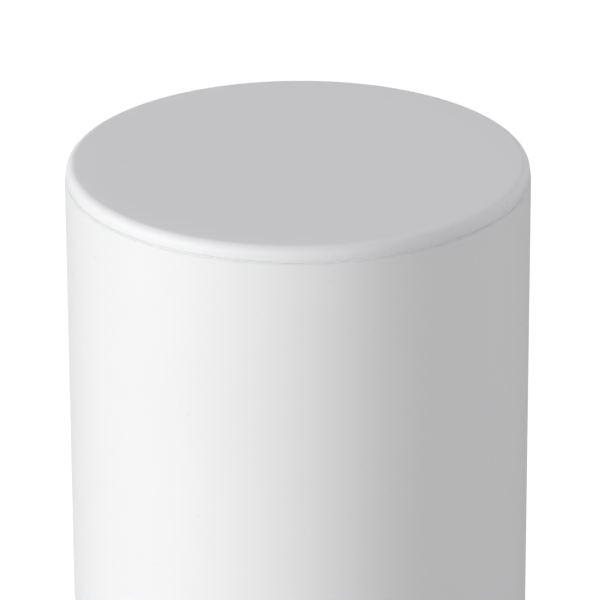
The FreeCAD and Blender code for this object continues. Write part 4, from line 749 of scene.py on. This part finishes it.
def screw_measures(points):
    """Seat, aim and sizes of a packed screw, whose head stands at the end of its aim."""
    centre = points.mean(0)
    values, axes = np.linalg.eigh(np.cov((points - centre).T))
    odd = 0 if values[1] - values[0] > values[2] - values[1] else 2
    axis = axes[:, odd]
    along = (points - centre) @ axis
    out = np.linalg.norm(points - centre - np.outer(along, axis), axis=1)
    widest = out > out.max() * 0.97
    if abs(along[widest].max() - along.min()) < abs(along.max() - along[widest].min()):
        axis, along = -axis, -along
    seat = along[widest].min()
    shank = out[along < seat - 0.02 * (seat - along.min())]
    return {
        "seat": Vector(centre + axis * seat),
        "aim": Vector(axis),
        "head_radius": float(out.max()),
        "head_height": float(along.max() - seat),
        "length": float(seat - along.min()),
        "shank_radius": float(shank.max()) if len(shank) else float(out.max()),
    }


def ring(radius, height, sides, hexagonal=False):
    """Points of a round or hexagonal ring; a hexagon's radius is half its width across flats."""
    points = []
    for step in range(sides):
        angle = 2 * math.pi * step / sides
        reach = radius
        if hexagonal:
            reach = radius / math.cos((angle + math.pi / 6) % (math.pi / 3) - math.pi / 6)
        points.append((reach * math.cos(angle), reach * math.sin(angle), height))
    return points


def band_faces(levels, sides):
    """Faces between rings of points that follow each other."""
    faces = []
    for level in range(levels - 1):
        for step in range(sides):
            a, b = level * sides + step, level * sides + (step + 1) % sides
            faces.append((a, b, b + sides, a + sides))
    return faces


def stacked(name, rings, tip, floor):
    """Mesh through rings of equal counts, closed by a tip below and a floor at the end."""
    sides = len(rings[0])
    verts = [point for points in rings for point in points]
    faces = band_faces(len(rings), sides)
    for height, level in ((tip, 0), (floor, len(rings) - 1)):
        verts.append((0.0, 0.0, height))
        for step in range(sides):
            a, b = level * sides + step, level * sides + (step + 1) % sides
            faces.append((a, b, len(verts) - 1))
    return tidied(mesh_object(name, verts, (), faces))


def shank_rings(radius, length, sides, pitch):
    """Rings of a shank that ends at z = 0, with a thread where a pitch is given."""
    if not pitch:
        return [
            ring(radius * 0.8, -length, sides),
            ring(radius, -length + radius * 0.35, sides),
            ring(radius, 0.0, sides),
        ]
    rings = []
    depth = pitch * 0.55
    rows = int(length / pitch * 6)
    for row in range(rows + 1):
        height = -length + length * row / rows
        taper = min(1.0, (height + length) / pitch / 1.5)
        fade = min(1.0, -height / pitch / 1.2)
        points = []
        for step in range(sides):
            turn = step / sides
            wave = abs(((height / pitch - turn) % 1.0) * 2.0 - 1.0)
            reach = radius - depth * wave * fade - depth * 0.6 * (1.0 - taper)
            angle = 2 * math.pi * turn
            points.append((reach * math.cos(angle), reach * math.sin(angle), height))
        rings.append(points)
    return rings


def socket_screw(name, sizes, socket, pitch):
    """Screw with a domed head and a hexagon socket, seated at z = 0."""
    sides = SCREW_SIDES
    radius, height = sizes["head_radius"], sizes["head_height"]
    rings = shank_rings(sizes["shank_radius"], sizes["length"], sides, pitch)
    edge = min(0.12 * height, 0.1 * MM)
    rings.append(ring(radius - edge, 0.0, sides))
    rings.append(ring(radius, edge, sides))
    for turn in range(5):
        angle = math.radians(90.0 * turn / 4)
        crown = height * 0.42 + (height * 0.58) * math.sin(angle)
        reach = radius * 0.62 + radius * 0.38 * math.cos(angle)
        rings.append(ring(reach, crown, sides))
    half = socket / 2
    rings.append(ring(half * 1.22, height, sides))
    rings.append(ring(half, height - 0.15 * MM, sides, hexagonal=True))
    rings.append(ring(half, height * 0.42, sides, hexagonal=True))
    return stacked(name, rings, tip=-sizes["length"] - 0.1 * MM, floor=height * 0.30)


def grub_screw(name, radius, length, socket, pitch):
    """Headless threaded screw, whose socket end is at z = 0."""
    sides = SCREW_SIDES
    rings = shank_rings(radius, length, sides, pitch)
    half = socket / 2
    rings.append(ring(radius * 0.86, 0.0, sides))
    rings.append(ring(half, -0.1 * MM, sides, hexagonal=True))
    rings.append(ring(half, -length * 0.45, sides, hexagonal=True))
    return stacked(name, rings, tip=-length, floor=-length * 0.5)


def screws_like(node, name, body, socket, pitch=0.0):
    """Detailed screws in place of a packed group of headed screws."""
    measured = [screw_measures(points) for points in solids_of(node)]
    template = socket_screw("template", measured[0], socket, pitch)
    seats = [(sizes["seat"], sizes["aim"]) for sizes in measured]
    obj = on_seats(name, template, seats, finish("stainless"))
    return finished(obj, body, [node])


# ---------------------------------------------------------------- operators


class BOLLARD_OT_opal_tube(Operator):
    """Make the opal tube of the head, with finely rounded ends"""

    bl_idname = "bollard.opal_tube"
    bl_label = "Opal Tube"

    def execute(self, context):
        head = context.scene.bollard_head
        foot, top = low("diffuser_tube").z, high("diffuser_tube").z
        inner = BODY_RADIUS - head.wall
        corners = [
            (inner, foot, 0.2 * MM),
            (BODY_RADIUS, foot, head.tube_edge),
            (BODY_RADIUS, top, head.tube_edge),
            (inner, top, 0.2 * MM),
        ]
        tube = turned("opal_tube", corners, finish("opal_acrylic"))
        finished(tube, "head", ["diffuser_tube"])
        return {"FINISHED"}


class BOLLARD_OT_head_cap(Operator):
    """Make the cap of the head, with its skirt, ribs and sealing ring"""

    bl_idname = "bollard.head_cap"
    bl_label = "Head Cap"

    def execute(self, context):
        head = context.scene.bollard_head
        self.make_cap(head)
        self.make_seal(head)
        return {"FINISHED"}

    def make_cap(self, head):
        foot, top = low("diffuser_cap").z, high("diffuser_cap").z
        rim = high("cap_seal").z
        radius = high("diffuser_cap").y
        skirt = BODY_RADIUS - head.wall - 0.2 * MM
        bore = skirt - head.skirt_wall
        under = top - head.cap_plate
        corners = [
            (0.0, under),
            (bore, under, 2.0 * MM),
            (bore, foot, 0.3 * MM),
            (skirt - 0.8 * MM, foot, 0.3 * MM),
            (skirt, foot + 2.0 * MM, 1.0 * MM),
            (skirt, rim),
            (radius, rim, 0.1 * MM),
            *self.crown(radius, top, head),
            (0.0, top),
        ]
        cap = turned("head_cap", corners, finish("opal_acrylic"), closed=False)
        finished(cap, "head", ["diffuser_cap"])
        ribs = self.make_ribs(bore, under)
        finished(ribs, "head")

    def crown(self, radius, top, head):
        """Edge rounding, then a slope that dies away towards the middle of the disc."""
        reach, drop, inset = 6.0 * MM, 0.32 * MM, head.cap_edge
        steps, spacing = 12, 0.22
        points = [(radius, top - drop, head.cap_edge * 0.97)]
        for step in range(1, steps + 1):
            inward = inset + reach * spacing * step * (1.0 + step / steps)
            points.append((radius - inward, top - drop * math.exp(-(inward - inset) / reach)))
        return points

    def make_ribs(self, bore, under):
        depth, thick, hub = 8.0 * MM, 2.0 * MM, 9.0 * MM
        into_skirt, into_hub = 0.8 * MM, 1.5 * MM
        length = bore + into_skirt - hub + into_hub
        template = mesh_object("template", *box_mesh(length, thick, depth + 0.6 * MM))
        shift = Vector((length / 2 - into_hub, 0.0, -depth / 2 + 0.3 * MM))
        template.data.transform(Matrix.Translation(shift))
        bevel = template.modifiers.new("edge", "BEVEL")
        bevel.width, bevel.segments = 0.3 * MM, 3
        baked(template)
        ribs = mesh_object("cap_ribs", [(0.0, 0.0, 0.0)])
        the_tree(ring_tree).apply(
            ribs, Template=template, Around=6, Rows=1, Row_Pitch=0.0, Radius=hub, Height=under,
            First_Angle=math.radians(30.0), Material=finish("opal_acrylic"),
        )
        remove(template)
        hub_ring = turned(
            "hub", [(hub - 3 * MM, under - depth, 0.4 * MM), (hub, under - depth, 0.4 * MM),
                    (hub, under + 0.5 * MM), (hub - 3 * MM, under + 0.5 * MM)],
            finish("opal_acrylic"), segments=64,
        )
        join_into(ribs, hub_ring)
        return smoothed(ribs)

    def make_seal(self, head):
        foot, top = low("cap_seal").z, high("cap_seal").z
        inner, outer = BODY_RADIUS - head.wall, high("cap_seal").y
        edge = (top - foot) * 0.2
        corners = [(inner, foot), (outer, foot, edge), (outer, top, edge), (inner, top)]
        seal = turned("cap_seal_ring", corners, finish("seal_clear"))
        finished(seal, "head", ["cap_seal"])


def box_mesh(x, y, z):
    """Vertices, edges and faces of a box centred on the origin."""
    signs = [(a, b, c) for a in (-1, 1) for b in (-1, 1) for c in (-1, 1)]
    verts = [(a * x / 2, b * y / 2, c * z / 2) for a, b, c in signs]
    faces = [(0, 1, 3, 2), (4, 6, 7, 5), (0, 4, 5, 1), (2, 3, 7, 6), (0, 2, 6, 4), (1, 5, 7, 3)]
    return verts, (), faces


def join_into(target, other):
    """Adds another object's mesh to the target's, and removes the other."""
    work = bmesh.new()
    work.from_mesh(target.data)
    work.from_mesh(other.data)
    work.to_mesh(target.data)
    work.free()
    remove(other)


class BOLLARD_OT_light_engine(Operator):
    """Make the light-emitting packages on the six boards"""

    bl_idname = "bollard.light_engine"
    bl_label = "Light Engine"

    def execute(self, context):
        foot, top = low("led_chips").z, high("led_chips").z
        rows, around = 10, 6
        size = Vector((0.8 * MM, 2.8 * MM, 3.5 * MM))
        pitch = (top - foot - size.z) / (rows - 1)
        face = high("led_chips").x - size.x
        for name, slot, template in (
            ("led_packages", "nylon_white", self.package(size)),
            ("led_phosphor", "chip_phosphor", self.lens(size)),
        ):
            obj = mesh_object(name, [(0.0, 0.0, 0.0)])
            the_tree(ring_tree).apply(
                obj, Template=template, Around=around, Rows=rows, Row_Pitch=pitch, Radius=face,
                Height=foot + size.z / 2, First_Angle=0.0, Material=finish(slot),
            )
            remove(template)
            finished(smoothed(obj), "post", ["led_chips"])
        return {"FINISHED"}

    def package(self, size):
        """Moulded frame with a dished opening."""
        outer = rounded_outline(rectangle(size.y, size.z, 0.25 * MM), support=0.02 * MM)
        sides = len(outer)
        scales = ((1.0, 0.0), (1.0, 0.62), (0.97, 0.7), (0.76, 0.7), (0.70, 0.35))
        rings = []
        for scale, rise in scales:
            rings.append([(size.x * rise, p.x * scale, p.y * scale) for p in outer])
        verts = [point for points in rings for point in points]
        faces = band_faces(len(rings), sides)
        faces.append(tuple(range((len(rings) - 1) * sides, len(rings) * sides)))
        faces.append(tuple(reversed(range(sides))))
        return tidied(mesh_object("template", verts, (), faces))

    def lens(self, size):
        """Low dome of phosphor that fills the opening."""
        sides = 12
        verts = []
        for rise, scale in ((0.36, 0.72), (0.66, 0.70), (0.80, 0.5)):
            for step in range(sides):
                angle = 2 * math.pi * (step + 0.5) / sides
                y = math.copysign(abs(math.cos(angle)) ** 0.5, math.cos(angle)) * size.y / 2
                z = math.copysign(abs(math.sin(angle)) ** 0.5, math.sin(angle)) * size.z / 2
                verts.append((size.x * rise, y * scale, z * scale))
        faces = band_faces(3, sides)
        verts.append((size.x * 0.86, 0.0, 0.0))
        for step in range(sides):
            faces.append((2 * sides + step, 2 * sides + (step + 1) % sides, len(verts) - 1))
        faces.append(tuple(reversed(range(sides))))
        return tidied(mesh_object("template", verts, (), faces))


def rectangle(width, height, radius):
    half_width, half_height = width / 2, height / 2
    signs = ((-1, -1), (1, -1), (1, 1), (-1, 1))
    return [(a * half_width, b * half_height, radius) for a, b in signs]


class BOLLARD_OT_fasteners(Operator):
    """Make the socket screws but those of the flange, with threads on door and grub screws"""

    bl_idname = "bollard.fasteners"
    bl_label = "Fasteners"

    def execute(self, context):
        screws_like("board_screws", "board_screw_set", "post", 2.0 * MM)
        screws_like("column_screws", "column_screw_set", "post", 2.5 * MM)
        screws_like("small_screws", "small_screw_set", "post", 2.0 * MM)
        screws_like("carrier_screws", "carrier_screw_set", "post", 3.0 * MM)
        screws_like("driver_screws", "driver_screw_set", "post", 2.5 * MM)
        screws_like("clip_screw", "clip_screw_single", "post", 2.5 * MM)
        screws_like("lid_screws", "lid_screw_set", "post", 2.5 * MM)
        for place in ("lower", "upper"):
            node = "door_screw_" + place
            screws_like(node, node + "_detailed", node, 4.0 * MM, pitch=1.0 * MM)
        self.make_grubs("head_grub_screws", "head_grub_set", "head", 2.0 * MM, 0.7 * MM)
        self.make_grubs("cover_grub_screws", "cover_grub_set", "base_cover", 2.5 * MM, 0.8 * MM)
        return {"FINISHED"}

    def make_grubs(self, node, name, body, socket, pitch):
        seats, sizes = [], None
        for points in solids_of(node):
            centre = points.mean(0)
            aim = Vector((centre[0], centre[1], 0.0)).normalized()
            along = points @ np.array(aim)
            out = np.linalg.norm(points - np.outer(along, np.array(aim)), axis=1)
            height = (points[:, 2].max() + points[:, 2].min()) / 2
            radius = (points[:, 2].max() - points[:, 2].min()) / 2
            sizes = (radius, along.max() - along.min())
            seats.append((aim * float(along.max()) + Vector((0.0, 0.0, float(height))), aim))
        template = grub_screw("template", float(sizes[0]), float(sizes[1]), socket, pitch)
        obj = on_seats(name, template, seats, finish("stainless"))
        finished(obj, body, [node])


class BOLLARD_OT_weld(Operator):
    """Make the rippled weld bead between the post and its plate"""

    bl_idname = "bollard.weld"
    bl_label = "Weld Bead"

    def execute(self, context):
        count, leg = 190, 5.0 * MM
        foot = low("post_tube").z
        template = mesh_object("template", *self.ripple(leg))
        template.data.shade_smooth()
        obj = mesh_object("weld_bead", [(0.0, 0.0, 0.0)])
        the_tree(ring_tree).apply(
            obj, Template=template, Around=count, Rows=1, Row_Pitch=0.0,
            Radius=BODY_RADIUS + leg * 0.22, Height=foot + leg * 0.22, First_Angle=0.0,
            Material=finish("galvanised_steel"),
        )
        remove(template)
        finished(obj, "post")
        return {"FINISHED"}

    def ripple(self, leg):
        """A flat scale that leans on the one before it."""
        work = bmesh.new()
        bmesh.ops.create_uvsphere(work, u_segments=10, v_segments=6, radius=1.0)
        size = Matrix.Diagonal((leg * 0.34, leg * 0.52, leg * 0.62, 1.0))
        lean = Matrix.Rotation(math.radians(45.0), 4, "Y")
        bmesh.ops.transform(work, matrix=lean @ size, verts=work.verts)
        work.verts.ensure_lookup_table()
        verts = [tuple(vert.co) for vert in work.verts]
        faces = [tuple(vert.index for vert in face.verts) for face in work.faces]
        work.free()
        return verts, (), faces


class BOLLARD_OT_node_finishes(Operator):
    """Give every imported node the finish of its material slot"""

    bl_idname = "bollard.node_finishes"
    bl_label = "Node Finishes"

    def execute(self, context):
        for node, obj in frame["nodes"].items():
            material = finish(SLOT_OF[node])
            if not obj.material_slots:
                raise RuntimeError(f"{node} has no material slot to fill")
            for place in obj.material_slots:
                place.material = material
        return {"FINISHED"}


CAMERA_BRIGHTNESS, GLOSS_BRIGHTNESS = 1.02, 0.7
# Azimuth and elevation in degrees, strength, and whether gloss shows the lamp.
LIGHTS = {
    "key_light": (-62.0, 6.0, 3.16, True),
    "front_fill": (16.0, 8.0, 0.90, True),
    "side_fill": (106.0, 5.0, 0.78, True),
    "back_fill": (180.0, 50.0, 0.92, False),
}


class BOLLARD_OT_stage(Operator):
    """Make the floor, the soft lights and the camera"""

    bl_idname = "bollard.stage"
    bl_label = "Stage"

    def execute(self, context):
        stage = context.scene.bollard_stage
        self.make_floor(stage.floor_glow)
        self.make_world(context.scene, stage.surround)
        for name, placed in LIGHTS.items():
            self.make_light(name, stage.softness, *placed)
        context.scene.camera = self.make_camera(stage)
        context.scene.view_settings.view_transform = "Standard"
        return {"FINISHED"}

    def make_floor(self, glow_strength):
        half = 60.0
        corners = [(-half, -half, 0), (half, -half, 0), (half, half, 0), (-half, half, 0)]
        floor = mesh_object("floor", corners, (), [(0, 1, 2, 3)])
        material = bpy.data.materials.new("white_floor")
        material.use_nodes = True
        nodes, links = material.node_tree.nodes, material.node_tree.links
        shader = nodes["Principled BSDF"]
        shader.inputs["Base Color"].default_value = (0.47, 0.47, 0.47, 1.0)
        shader.inputs["Roughness"].default_value = 0.9
        shader.inputs["Specular IOR Level"].default_value = 0.0
        path = nodes.new("ShaderNodeLightPath")
        glow = nodes.new("ShaderNodeEmission")
        scale = nodes.new("ShaderNodeMath")
        scale.operation = "MULTIPLY"
        scale.inputs[1].default_value = glow_strength
        links.new(path.outputs["Is Camera Ray"], scale.inputs[0])
        links.new(scale.outputs[0], glow.inputs["Strength"])
        total = nodes.new("ShaderNodeAddShader")
        links.new(shader.outputs[0], total.inputs[0])
        links.new(glow.outputs[0], total.inputs[1])
        links.new(total.outputs[0], nodes["Material Output"].inputs["Surface"])
        floor.data.materials.append(material)

    def make_world(self, scene, brightness):
        """White room: white to the camera, dimmer in gloss, and dim as a light."""
        world = bpy.data.worlds.new("white_room")
        world.use_nodes = True
        nodes, links = world.node_tree.nodes, world.node_tree.links
        path = nodes.new("ShaderNodeLightPath")
        strength = brightness
        for ray, seen in (("Is Glossy Ray", GLOSS_BRIGHTNESS), ("Is Camera Ray", CAMERA_BRIGHTNESS)):
            choice = nodes.new("ShaderNodeMix")
            links.new(path.outputs[ray], choice.inputs["Factor"])
            if isinstance(strength, bpy.types.NodeSocket):
                links.new(strength, choice.inputs["A"])
            else:
                choice.inputs["A"].default_value = strength
            choice.inputs["B"].default_value = seen
            strength = choice.outputs["Result"]
        links.new(strength, nodes["Background"].inputs["Strength"])
        nodes["Background"].inputs["Color"].default_value = (0.99, 0.99, 1.02, 1.0)
        scene.world = world

    def make_light(self, name, softness, azimuth, elevation, strength, in_gloss):
        """Soft light at an azimuth right of the camera and a height, both in degrees."""
        light = bpy.data.lights.new(name, "SUN")
        light.energy = strength
        light.angle = softness
        light.color = (1.0, 1.0, 0.99)
        lamp = link(bpy.data.objects.new(name, light))
        lamp.visible_glossy = in_gloss
        side, rise = math.radians(azimuth), math.radians(elevation)
        flat = math.cos(rise)
        towards = Vector((math.sin(side) * flat, -math.cos(side) * flat, math.sin(rise)))
        lamp.rotation_euler = towards.to_track_quat("Z", "Y").to_euler()
        lamp.location = towards * 3.0

    def make_camera(self, stage):
        data = bpy.data.cameras.new("camera")
        data.lens = stage.lens
        data.sensor_width = 36.0
        data.clip_start, data.clip_end = 0.05, 200.0
        camera = link(bpy.data.objects.new("camera", data))
        seam = Vector((0.0, 0.0, high("diffuser_tube").z))
        ahead = Vector((0.0, math.cos(stage.pitch), -math.sin(stage.pitch)))
        right = Vector((1.0, 0.0, 0.0))
        up = right.cross(ahead)
        place = seam - ahead * stage.distance + right * stage.aside - up * stage.drop
        turned_right = right * math.cos(stage.roll) + up * math.sin(stage.roll)
        turned_up = up * math.cos(stage.roll) - right * math.sin(stage.roll)
        basis = Matrix((turned_right, turned_up, -ahead)).transposed()
        camera.matrix_world = Matrix.Translation(place) @ basis.to_4x4()
        return camera


class BOLLARD_PT_panel(Panel):
    """Lists the bollard's settings and the steps that build it"""

    bl_label = "Bollard Light"
    bl_idname = "BOLLARD_PT_panel"
    bl_space_type = "VIEW_3D"
    bl_region_type = "UI"
    bl_category = "Bollard"

    def draw(self, context):
        layout = self.layout
        for operator in STEPS:
            layout.operator(operator.bl_idname)
        for group in SETTINGS:
            settings = getattr(context.scene, group)
            column = layout.column()
            for name in settings.__annotations__:
                column.prop(settings, name)


STEPS = (
    BOLLARD_OT_node_finishes,
    BOLLARD_OT_opal_tube,
    BOLLARD_OT_head_cap,
    BOLLARD_OT_light_engine,
    BOLLARD_OT_fasteners,
    BOLLARD_OT_weld,
    BOLLARD_OT_stage,
)
SETTINGS = {
    "bollard_head": BollardHeadSettings,
    "bollard_finish": BollardFinishSettings,
    "bollard_stage": BollardStageSettings,
}


def register():
    for settings in SETTINGS.values():
        bpy.utils.register_class(settings)
    for operator in (*STEPS, BOLLARD_PT_panel):
        bpy.utils.register_class(operator)
    for name, settings in SETTINGS.items():
        setattr(bpy.types.Scene, name, PointerProperty(type=settings))


def unregister():
    for name in SETTINGS:
        delattr(bpy.types.Scene, name)
    for operator in (*STEPS, BOLLARD_PT_panel, *SETTINGS.values()):
        bpy.utils.unregister_class(operator)


def main():
    register()
    for operator in STEPS:
        group, name = operator.bl_idname.split(".")
        getattr(getattr(bpy.ops, group), name)()


if __name__ == "__main__":
    main()
